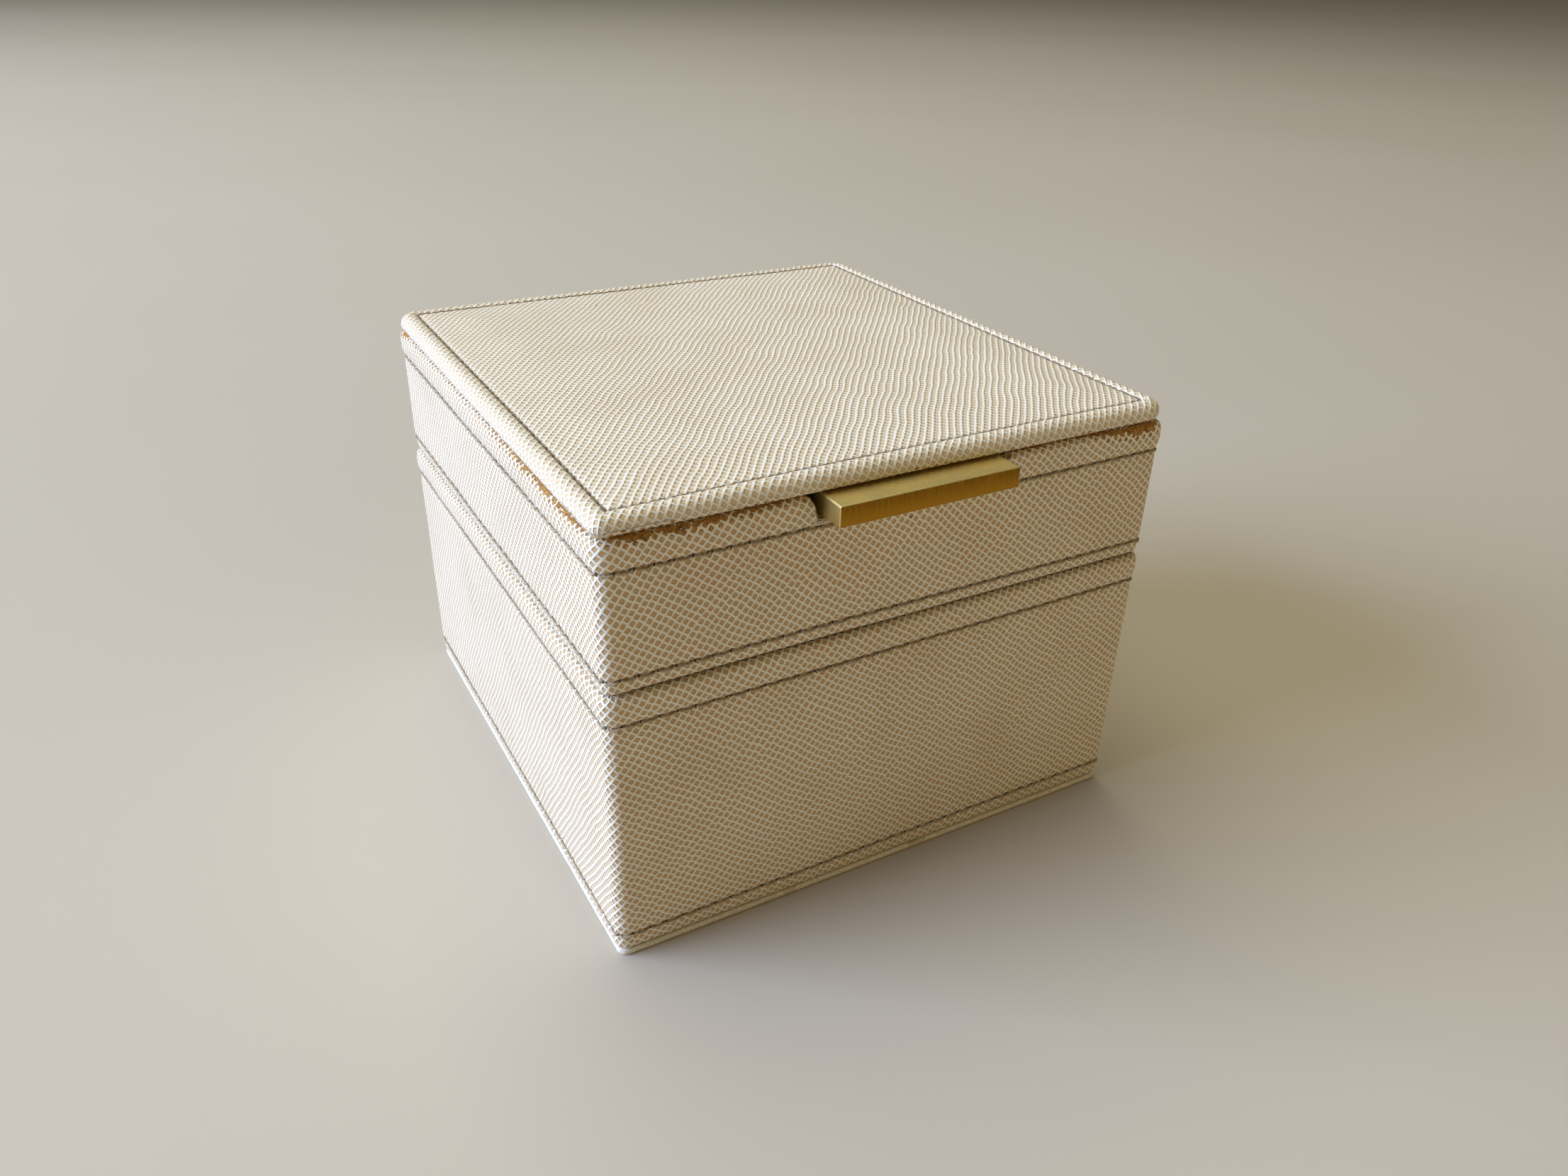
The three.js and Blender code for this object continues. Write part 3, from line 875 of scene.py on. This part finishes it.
def add_pull_tab():
    """A bar with crisp small bevels, and the thin flange that the screws hold."""
    flange_half = 14.5 * MM
    flange_thickness = 1 * MM
    bar_back = FRONT + 5.8 * MM
    bar = block(TAB_LOW, (TAB_HIGH.x, bar_back, TAB_HIGH.z), 0, 0.28 * MM, 3)
    flange_low = (-flange_half, bar_back - 1 * MM, TAB_HIGH.z - flange_thickness)
    flange_high = (flange_half, TAB_HIGH.y, TAB_HIGH.z - 0.02 * MM)
    flange = block(flange_low, flange_high, 0.8 * MM, 0.15 * MM, 2)
    mesh = bpy.data.meshes.new("flange")
    flange.to_mesh(mesh)
    flange.free()
    bar.from_mesh(mesh)
    bpy.data.meshes.remove(mesh)
    make_piece(bar, "gold_pull_tab", tarnished_gold(), "lid", ["pull_tab"], shade_smooth=False)


def add_screws():
    """Domed steel screws with a cut slot, their heads downwards."""
    shank_radius = 0.9 * MM
    head_height = 0.9 * MM
    slot_half = 0.26 * MM
    slot_depth = 0.5 * MM
    # Distances from the axis and heights, as shares of the head's radius and height
    profile = [(0, 0), (0.55, 0.04), (0.8, 0.2), (0.95, 0.48), (1.0, 0.84), (0.99, 1.0)]
    for side in ("left", "right"):
        low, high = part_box("tab_screw_" + side)
        centre = (low + high) / 2
        radius = (high.x - low.x) / 2
        bm = bmesh.new()
        verts = [bm.verts.new((centre.x + r * radius, centre.y, low.z + h * head_height)) for r, h in profile]
        verts.append(bm.verts.new((centre.x + shank_radius, centre.y, low.z + head_height)))
        verts.append(bm.verts.new((centre.x + shank_radius, centre.y, high.z)))
        verts.append(bm.verts.new((centre.x, centre.y, high.z)))
        for a, b in zip(verts, verts[1:]):
            bm.edges.new((a, b))
        bmesh.ops.spin(bm, geom=bm.verts[:] + bm.edges[:], cent=centre, axis=(0, 0, 1), dvec=(0, 0, 0),
                       angle=2 * math.pi, steps=28, use_merge=True, use_duplicate=False)
        bmesh.ops.remove_doubles(bm, verts=bm.verts[:], dist=0.002 * MM)
        edge = slot_half + 0.05 * MM
        slice_up(bm, Y, [centre.y + away for away in (-edge, -slot_half, slot_half, edge)])
        for vert in bm.verts:
            if abs(vert.co.y - centre.y) <= slot_half + 1e-7 and vert.co.z < low.z + 0.45 * MM:
                vert.co.z = low.z + slot_depth
        bmesh.ops.recalc_face_normals(bm, faces=bm.faces[:])
        make_piece(bm, "slotted_screw_" + side, brushed_steel(), "lid", ["tab_screw_" + side],
                   shade_smooth=False)


# The strip that hinges the lid

STRIP_LOW, STRIP_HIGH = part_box("hinge_strip")
STRIP_ROWS = (STRIP_LOW.z + 1.6 * MM, STRIP_HIGH.z - 1.8 * MM, LID_UNDER + 1.9 * MM)


def strip_section():
    """Up the back of the tray, past its rim and on to the lid's back edge."""
    outer = [(STRIP_LOW.y + 0.35 * MM, STRIP_LOW.z), (STRIP_HIGH.y - 0.12 * MM, STRIP_LOW.z + 0.3 * MM)]
    top = LID_TOP - 1.0 * MM
    height = STRIP_LOW.z + 0.7 * MM
    while height < top - 0.5 * MM:
        outer.append((STRIP_HIGH.y - sum(sunk(height - row, STRIP_CREASE) for row in STRIP_ROWS), height))
        height += 0.25 * MM
    outer += [(STRIP_HIGH.y - 0.15 * MM, top - 0.15 * MM), (STRIP_LOW.y + 0.35 * MM, top)]
    bends = [LID_UNDER + above * MM for above in (1.5, 0.9, 0.5, 0.1, -0.3, -0.7, -1.3, -3.5, -9.5)]
    back = [(STRIP_LOW.y, z) for z in (top - 0.2 * MM, *bends, STRIP_LOW.z + 0.2 * MM)]
    return [(y, z, z) for y, z in outer + back]


def add_hinge_strip():
    count = 176
    width = STRIP_HIGH.x - STRIP_LOW.x
    rows = [width * i / count for i in range(count + 1)]
    bm, along, across = sweep(strip_section(), rows, closed=True)
    set_map(bm, "skin", lambda vert: (-vert[along], vert[across]))
    set_map(bm, "sewing", lambda vert: (vert[along] / STITCH_PITCH, vert[across] / MM))
    for vert in bm.verts:
        x, y, z = vert[along], vert.co.y, vert.co.z
        end = smooth(0, 0.5 * MM, min(x, width - x))
        y = STRIP_LOW.y + (y - STRIP_LOW.y) * (0.55 + 0.45 * end)
        if y > STRIP_LOW.y + 0.3 * MM:
            pull = stitch_pull(x / STITCH_PITCH)
            y -= 0.05 * MM * pull * sum(hump(z - row, 0.6 * MM) for row in STRIP_ROWS)
        vert.co = STRIP_LOW.x + x, y, z
    join_up(bm)
    material = leatherette("strip_leatherette", STRIP_ROWS)
    piece = make_piece(bm, "hinge_leatherette", material)
    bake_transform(piece)
    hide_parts("hinge_strip")
    stitches = int(width / STITCH_PITCH)
    for row, (height, body) in enumerate(zip(STRIP_ROWS, ("upper_tray", "upper_tray", "lid"))):
        bm = bmesh.new()

        def place(along, down, out):
            return STRIP_LOW.x + along, STRIP_HIGH.y - 0.24 * MM + out, height - down

        sew(bm, stitches - 1, STITCH_PITCH, place, start=STITCH_PITCH, seed=20 + row)
        make_piece(bm, f"hinge_thread_{row + 1}", taupe_thread(), body)


# Node trees

def put(socket, value):
    """Gives an input its value, or links it to the socket that feeds it."""
    if isinstance(value, bpy.types.NodeSocket):
        socket.id_data.links.new(value, socket)
    else:
        socket.default_value = value


def node(tree, kind, inputs, **settings):
    """A node with its settings; inputs are values or the sockets that feed them."""
    made = tree.nodes.new("ShaderNode" + kind)
    for name, value in settings.items():
        setattr(made, name, value)
    for name, value in inputs.items():
        put(made.inputs[name], value)
    return made


def work_out(operation, *values):
    """The output of a Math node, in the tree of the sockets among its values."""
    tree = next(value.id_data for value in values if isinstance(value, bpy.types.NodeSocket))
    return node(tree, "Math", dict(enumerate(values)), operation=operation).outputs[0]


def plus(a, b):
    return work_out("ADD", a, b)


def minus(a, b):
    return work_out("SUBTRACT", a, b)


def times(a, b):
    return work_out("MULTIPLY", a, b)


def ramp(value, low, high, start=0.0, end=1.0):
    """value carried from low..high to start..end, smoothly and no further."""
    inputs = {"Value": value, "From Min": low, "From Max": high, "To Min": start, "To Max": end}
    return node(value.id_data, "MapRange", inputs, interpolation_type="SMOOTHSTEP").outputs["Result"]


def clouds(place, size, detail, output="Fac", **inputs):
    """Noise whose patches are about this large."""
    inputs = {"Vector": place, "Scale": 1 / size, "Detail": detail, **inputs}
    return node(place.id_data, "TexNoise", inputs).outputs[output]


def cells(place, size):
    """Distance from the middle of the nearest cell, and that cell's random value."""
    made = node(place.id_data, "TexVoronoi", {"Vector": place, "Scale": 1 / size})
    return made.outputs["Distance"], channels(made.outputs["Color"])[0]


def channels(colour):
    return node(colour.id_data, "SeparateColor", {"Color": colour}).outputs


def components(vector):
    return node(vector.id_data, "SeparateXYZ", {"Vector": vector}).outputs


def mix(share, a, b, mode="MIX"):
    """The colour a, and as much of the colour b over it as share says."""
    # A Mix node for colours has its factor at input 0, its colours at 6 and 7 and its result at 2
    return node(share.id_data, "Mix", {0: share, 6: a, 7: b}, data_type="RGBA", blend_type=mode).outputs[2]


def rgb(red, green, blue):
    """A colour given as display values from 0 to 255, as the linear values that shaders take."""
    values = []
    for value in (red, green, blue):
        v = value / 255
        values.append(v / 12.92 if v <= 0.04045 else ((v + 0.055) / 1.055) ** 2.4)
    return (*values, 1)


def new_group(name, numbers, outputs):
    """A node group that reads a vector and numbers, given with their usual values."""
    group = bpy.data.node_groups.new(name, "ShaderNodeTree")
    group.interface.new_socket("Vector", in_out="INPUT", socket_type="NodeSocketVector")
    for label, value in numbers.items():
        socket = group.interface.new_socket(label, in_out="INPUT", socket_type="NodeSocketFloat")
        socket.default_value = value
    for label in outputs:
        kind = "NodeSocketColor" if label == "Colour" else "NodeSocketFloat"
        group.interface.new_socket(label, in_out="OUTPUT", socket_type=kind)
    return group, group.nodes.new("NodeGroupInput").outputs, group.nodes.new("NodeGroupOutput").inputs


def use(group, **inputs):
    made = node(inputs["Vector"].id_data, "Group", inputs, node_tree=group)
    return made.outputs


def grain_group():
    """The embossed crosshatch: thin steep ridges that run on, and shallow ones between them that
    step a little from one strip to the next."""
    numbers = {"Pitch": 1.14 * MM, "Shallow": 0.85, "Stagger": 0.2}
    group, given, result = new_group("crosshatch_grain", numbers, ("Ridge", "Height"))
    place = given["Vector"]
    wide = channels(clouds(place, 11 * MM, 1.0, "Color"))
    near = channels(clouds(place, 2.6 * MM, 1.0, "Color"))

    def count_ridges(degrees, part):
        """Ridges passed so far, across ones that run this many degrees above the horizontal."""
        lean = math.radians(degrees)
        normal = (-math.sin(lean), math.cos(lean), 0)
        rise = node(group, "VectorMath", {0: place, 1: normal}, operation="DOT_PRODUCT").outputs["Value"]
        turns = plus(work_out("DIVIDE", rise, given["Pitch"]), times(wide[part], 1.1))
        return plus(turns, times(near[part], 0.22))

    def crest(turns, sharpness):
        wave = work_out("COSINE", times(turns, 2 * math.pi))
        return work_out("POWER", ramp(wave, -1.0, 1.0), sharpness)

    steep_turns = count_ridges(52, 0)
    strip = node(group, "TexWhiteNoise", {"W": work_out("FLOOR", steep_turns)}, noise_dimensions="1D")
    step = times(strip.outputs["Value"], given["Stagger"])
    steep = crest(steep_turns, 2.9)
    shallow = times(crest(plus(count_ridges(-38, 1), step), 3.1), given["Shallow"])
    pit = times(minus(1.0, steep), minus(1.0, shallow))
    fine = clouds(place, 0.3 * MM, 2.0)
    put(result["Ridge"], minus(1.0, ramp(pit, 0.06, 0.92)))
    put(result["Height"], plus(minus(1.0, pit), times(fine, 0.06)))
    return group


def needle_group():
    """Needle holes and the crease of a seam. The map counts stitches one way and millimetres the
    other."""
    group, given, result = new_group("needle_holes", {"Seam": 0.0}, ("Hole", "Crease"))
    parts = components(given["Vector"])
    along = times(minus(parts["X"], work_out("ROUND", parts["X"])), STITCH_PITCH / MM)
    down = minus(parts["Y"], given["Seam"])
    square = plus(times(along, along), times(times(down, down), 0.8))
    reach = NEEDLE_HOLE / MM
    put(result["Hole"], ramp(square, (1.5 * reach) ** 2, (0.8 * reach) ** 2))
    put(result["Crease"], ramp(work_out("ABSOLUTE", down), 0.34, 0.05))
    return group


def soil_group():
    """Handling marks: faint broad stains and a few dark specks."""
    group, given, result = new_group("handling_marks", {"Amount": 1.0}, ("Stain", "Speck"))
    place = given["Vector"]
    broad = clouds(place, 26 * MM, 4.0, Roughness=0.6)
    away, pick = cells(place, 7 * MM)
    size = plus(away, times(clouds(place, 0.9 * MM, 2.0), 0.1))
    speck = times(ramp(size, 0.09, 0.065), ramp(pick, 0.8, 0.9))
    put(result["Stain"], times(ramp(broad, 0.5, 0.78), given["Amount"]))
    put(result["Speck"], times(speck, given["Amount"]))
    return group


def peel_group():
    """Where the printed film has come off: a ragged edge that follows the cells of the grain."""
    numbers = {"Peeled": NOT_PEELED, "Ridge": 0.0}
    group, given, result = new_group("peeled_film", numbers, ("Mask", "Colour", "Rim"))
    place = given["Vector"]
    _, ragged = cells(place, 1.0 * MM)
    broad = clouds(place, 3.5 * MM, 3.0)
    depth = plus(given["Peeled"], times(minus(ragged, 0.5), 0.7))
    depth = plus(depth, times(minus(broad, 0.5), 1.5))
    depth = minus(depth, times(given["Ridge"], 0.95))
    fibre = clouds(place, 0.35 * MM, 4.0)
    patch = clouds(place, 1.6 * MM, 3.0)
    colour = mix(ramp(fibre, 0.38, 0.62), rgb(148, 102, 42), rgb(196, 146, 74))
    put(result["Mask"], ramp(depth, -0.03, 0.06))
    put(result["Colour"], mix(ramp(patch, 0.54, 0.7), colour, rgb(128, 88, 34)))
    put(result["Rim"], ramp(work_out("ABSOLUTE", depth), 0.14, 0.02))
    return group


GRAIN = grain_group()
NEEDLES = needle_group()
SOIL = soil_group()
PEEL = peel_group()


# Materials

def new_material(name):
    """A material, its shader and the object's own coordinates."""
    material = bpy.data.materials.new(name)
    material.use_nodes = True
    tree = material.node_tree
    tree.nodes.clear()
    shader = tree.nodes.new("ShaderNodeBsdfPrincipled")
    output = tree.nodes.new("ShaderNodeOutputMaterial")
    tree.links.new(shader.outputs[0], output.inputs["Surface"])
    return material, shader, node(tree, "TexCoord", {}).outputs["Object"]


def feed(shader, **inputs):
    """Feeds the shader's inputs, which are named here with _ for a space."""
    for name, value in inputs.items():
        put(shader.inputs[name.replace("_", " ")], value)


def emboss(shader, height, strength, distance):
    inputs = {"Height": height, "Strength": strength, "Distance": distance}
    feed(shader, Normal=node(shader.id_data, "Bump", inputs).outputs["Normal"])


def leatherette(name, seams, peels=False, lid=False):
    """Cream printed leatherette with an embossed crosshatch, sewn along its seams."""
    material, shader, place = new_material(name)
    tree = material.node_tree
    skin, sewing = (node(tree, "UVMap", {}, uv_map=label).outputs["UV"] for label in ("skin", "sewing"))
    grain = use(GRAIN, Vector=skin, Stagger=0.55 if lid else 0.25)
    soil = use(SOIL, Vector=place)
    # Painted shade: the walls' pits are a darker tan than the lid's, for the shade on the walls.
    pit = rgb(220, 192, 152) if lid else rgb(200, 164, 114)
    colour = mix(ramp(grain["Ridge"], 0.1, 0.85), pit, rgb(240, 232, 213))
    tone = clouds(place, 14 * MM, 3.0)
    colour = mix(ramp(tone, 0.35, 0.7, 0, 0.18), colour, rgb(232, 222, 196), "MULTIPLY")
    stain = times(soil["Stain"], 0.06 if lid else 0.13)
    colour = mix(stain, colour, rgb(190, 150, 96), "MULTIPLY")
    height = grain["Height"]
    rough = ramp(grain["Ridge"], 0, 1, 0.56, 0.4)
    for seam in seams:
        needle = use(NEEDLES, Vector=sewing, Seam=seam / MM)
        # Painted shade: the seam's crease is darkened, more on the lid, and the needle holes are painted near
        # black.
        colour = mix(times(needle["Crease"], 0.6 if lid else 0.2), colour, rgb(112, 86, 58))
        colour = mix(needle["Hole"], colour, rgb(38, 26, 18))
        height = minus(height, plus(times(needle["Hole"], 1.8), times(needle["Crease"], 0.5)))
    if peels:
        peeled = node(tree, "Attribute", {}, attribute_name="peeled").outputs["Fac"]
        worn = use(PEEL, Vector=place, Peeled=peeled, Ridge=grain["Ridge"])
        # A dark brown line along the edge of the peeled film; along the lid's lower edge it is partly painted
        # shade.
        colour = mix(worn["Rim"], colour, rgb(112, 74, 40))
        colour = mix(worn["Mask"], colour, worn["Colour"])
        height = times(height, minus(1.0, worn["Mask"]))
        rough = work_out("MAXIMUM", rough, times(worn["Mask"], 0.95))
    colour = mix(soil["Speck"], colour, rgb(96, 68, 44))
    feed(shader, Base_Color=colour, Roughness=rough, Coat_Weight=0.12, Coat_Roughness=0.35)
    emboss(shader, height, 1.0, 0.2 * MM)
    return material


def thread(name, dark, pale):
    """Two-ply sewing thread."""
    material, shader, place = new_material(name)
    fibre = clouds(place, 0.25 * MM, 2.0)
    broad = clouds(place, 6 * MM, 2.0)
    colour = mix(ramp(fibre, 0.2, 0.6), dark, pale)
    colour = mix(ramp(broad, 0.5, 0.75, 0, 0.4), colour, dark)
    feed(shader, Base_Color=colour, Roughness=0.72, Sheen_Weight=0.3)
    emboss(shader, fibre, 0.4, 0.03 * MM)
    return material


@cache
def taupe_thread():
    return thread("taupe_thread", rgb(142, 122, 94), rgb(192, 172, 140))


@cache
def brown_thread():
    return thread("brown_thread", rgb(112, 92, 66), rgb(150, 128, 98))


@cache
def velvet():
    """Short beige velvet: brushed patches, a fine pile and a soft sheen."""
    material, shader, place = new_material("beige_velvet")
    pile = clouds(place, 0.22 * MM, 3.0)
    brushed = clouds(place, 16 * MM, 3.0, Distortion=0.3)
    colour = mix(ramp(brushed, 0.3, 0.72), rgb(203, 186, 158), rgb(216, 201, 176))
    colour = mix(ramp(pile, 0.3, 0.7, 0, 0.5), colour, rgb(168, 146, 116), "MULTIPLY")
    feed(shader, Base_Color=colour, Roughness=0.92, Sheen_Weight=0.6, Sheen_Roughness=0.4)
    emboss(shader, pile, 0.7, 0.12 * MM)
    return material


def panel_paper():
    """The bottom panel: card covered in pale coated paper, with darker scuffed patches."""
    material, shader, place = new_material("pale_panel_paper")
    fibre = clouds(place, 0.6 * MM, 4.0)
    scuff = clouds(place, 7 * MM, 5.0)
    colour = mix(ramp(fibre, 0.35, 0.65), rgb(216, 204, 182), rgb(236, 228, 210))
    colour = mix(ramp(scuff, 0.58, 0.72, 0, 0.6), colour, rgb(168, 148, 118))
    feed(shader, Base_Color=colour, Roughness=0.7)
    emboss(shader, fibre, 0.4, 0.06 * MM)
    return material


def tarnished_gold():
    """Gold plate, polished in front with fine upright scratches, and dull and speckled on top. The front's
    darker, browner gold, lighter towards its bottom, is painted reflection.
    """
    material, shader, place = new_material("tarnished_gold")
    tree = material.node_tree
    facing = components(node(tree, "NewGeometry", {}).outputs["Normal"])
    in_front = ramp(times(facing["Y"], -1.0), 0.75, 0.95)
    speckle = clouds(place, 0.35 * MM, 4.0, Roughness=0.7)
    cloud = clouds(place, 4 * MM, 3.0)
    upright = node(tree, "Mapping", {"Vector": place, "Scale": (1, 1, 0.04)}).outputs["Vector"]
    scratch = clouds(upright, 0.16 * MM, 2.0)
    dull = mix(ramp(cloud, 0.35, 0.65), rgb(236, 214, 140), rgb(224, 206, 144))
    dull = mix(ramp(speckle, 0.55, 0.7), dull, rgb(164, 132, 66))
    # Painted reflection: the front is a darker, browner gold than the top, with its scratches.
    deep = mix(ramp(scratch, 0.42, 0.62), rgb(126, 86, 14), rgb(146, 104, 26))
    # Painted reflection: the front turns lighter towards its bottom.
    deep = mix(ramp(components(place)["Z"], TAB_HIGH.z, TAB_LOW.z), deep, rgb(168, 120, 34))
    rough = plus(ramp(in_front, 0, 1, 0.42, 0.2), ramp(speckle, 0.5, 0.7, 0, 0.2))
    feed(shader, Base_Color=mix(in_front, dull, deep), Metallic=1.0, Roughness=rough)
    emboss(shader, plus(times(scratch, in_front), times(speckle, 0.5)), 0.35, 0.03 * MM)
    return material


@cache
def brushed_steel():
    material, shader, place = new_material("brushed_steel")
    turned = clouds(place, 0.3 * MM, 3.0)
    colour = mix(turned, rgb(150, 148, 144), rgb(196, 194, 190))
    feed(shader, Base_Color=colour, Metallic=1.0, Roughness=0.34)
    emboss(shader, turned, 0.3, 0.02 * MM)
    return material


def greyboard():
    """Recycled board: grey, with paler and darker fibres."""
    material, shader, place = new_material("greyboard_fibre")
    layers = node(material.node_tree, "Mapping", {"Vector": place, "Scale": (1, 1, 3)}).outputs["Vector"]
    fibre = clouds(layers, 0.5 * MM, 5.0, Roughness=0.7)
    fleck = clouds(place, 1.4 * MM, 2.0)
    colour = mix(ramp(fibre, 0.35, 0.65), rgb(134, 126, 116), rgb(172, 164, 152))
    colour = mix(ramp(fleck, 0.66, 0.74, 0, 0.7), colour, rgb(86, 80, 78))
    feed(shader, Base_Color=colour, Roughness=0.93)
    emboss(shader, fibre, 0.6, 0.08 * MM)
    return material


@cache
def foam():
    """White packing foam with small open cells."""
    material, shader, place = new_material("open_cell_foam")
    away, _ = cells(place, 0.5 * MM)
    broad = clouds(place, 8 * MM, 2.0)
    colour = mix(ramp(away, 0.1, 0.5), rgb(196, 188, 170), rgb(238, 234, 222))
    colour = mix(ramp(broad, 0.45, 0.75, 0, 0.35), colour, rgb(226, 206, 160))
    feed(shader, Base_Color=colour, Roughness=0.95)
    emboss(shader, away, 0.8, 0.15 * MM)
    return material


def finish_hidden_nodes():
    """Boards and foam keep their own shapes and get their real surfaces."""
    board_finish, foam_finish = greyboard(), foam()
    for name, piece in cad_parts.items():
        finish = foam_finish if "foam" in name else board_finish
        if "board" in name or "foam" in name or name == "lid_lining_card":
            piece.material_slots[0].material = finish


# Stage

def floor_material():
    material, shader, place = new_material("studio_floor")
    tone = clouds(place, 1 / 3, 2.0)
    feed(shader, Base_Color=mix(tone, rgb(188, 176, 156), rgb(196, 184, 166)), Roughness=0.6)
    return material


def add_floor():
    bm = bmesh.new()
    bmesh.ops.create_grid(bm, x_segments=1, y_segments=1, size=8)
    floor = make_piece(bm, "studio_floor", floor_material())


def add_light(name, place, aim, size, power, colour):
    light = bpy.data.lights.new(name, "AREA")
    light.shape = "RECTANGLE"
    light.size, light.size_y = size
    light.energy = power
    light.color = colour
    lamp = bpy.data.objects.new(name, light)
    bpy.context.scene.collection.objects.link(lamp)
    way = Vector(aim) - Vector(place)
    lamp.location = place
    lamp.rotation_euler = way.to_track_quat("-Z", "Y").to_euler()


def add_lights():
    middle = (0, 0, 0.045)
    add_light("window", (-2.2, 0.7, 1.0), middle, (1.8, 1.5), 92, (0.76, 0.97, 1.48))
    add_light("ceiling", (-0.2, 0.8, 2.3), middle, (2.2, 2.2), 36, (1.0, 0.99, 0.82))
    add_light("warm_bounce", (0.9, -1.9, 0.5), middle, (2.0, 0.6), 5.5, (1.0, 0.7, 0.24))
    world = bpy.data.worlds.new("studio")
    bpy.context.scene.world = world
    world.use_nodes = True
    background = world.node_tree.nodes["Background"]
    background.inputs["Color"].default_value = (1.0, 0.92, 0.68, 1)
    background.inputs["Strength"].default_value = 0.14


def add_camera():
    """The camera stands off the near left corner and looks down on the case."""
    width = RIGHT - LEFT
    rim_height = 0.7355 * width
    azimuth, elevation = math.radians(-28.0), math.radians(27.48)
    distance = 2.2826 * width
    tilt_x, tilt_y, roll = 0.02946, 0.02973, math.radians(0.6)
    behind = Vector((math.sin(azimuth) * math.cos(elevation),
                     -math.cos(azimuth) * math.cos(elevation), math.sin(elevation)))
    across = Vector((math.cos(azimuth), math.sin(azimuth), 0))
    up = behind.cross(across)
    facing = Matrix((across, up, behind))
    facing = Matrix.Rotation(-roll, 3, "Z") @ facing
    facing = Matrix.Rotation(tilt_x, 3, "Y") @ facing
    facing = Matrix.Rotation(tilt_y, 3, "X") @ facing
    centre = Vector(((LEFT + RIGHT) / 2, (FRONT + BACK) / 2, rim_height / 2))
    data = bpy.data.cameras.new("camera")
    data.sensor_fit = "HORIZONTAL"
    data.sensor_width = 36
    data.lens = 27.03
    data.clip_start = 0.01
    camera = bpy.data.objects.new("camera", data)
    bpy.context.scene.collection.objects.link(camera)
    camera.matrix_world = Matrix.Translation(centre + behind * distance) @ facing.transposed().to_4x4()
    bpy.context.scene.camera = camera


def main():
    add_camera()
    add_lights()
    add_floor()
    add_wall_cover(BASE, 1.5)
    add_wall_cover(TRAY, 7.5, notched=True)
    add_lid_cover()
    add_wall_stitching(BASE)
    add_wall_stitching(TRAY)
    add_lid_stitching()
    add_hinge_strip()
    add_pull_tab()
    add_screws()
    add_bottom_panel()
    add_wall_lining(BASE)
    add_wall_lining(TRAY)
    add_floor_pads()
    add_dividers()
    add_ring_rolls()
    add_plinth()
    add_lid_foam()
    add_lid_lining()
    finish_hidden_nodes()
    bpy.context.scene.view_settings.view_transform = "Standard"


main()
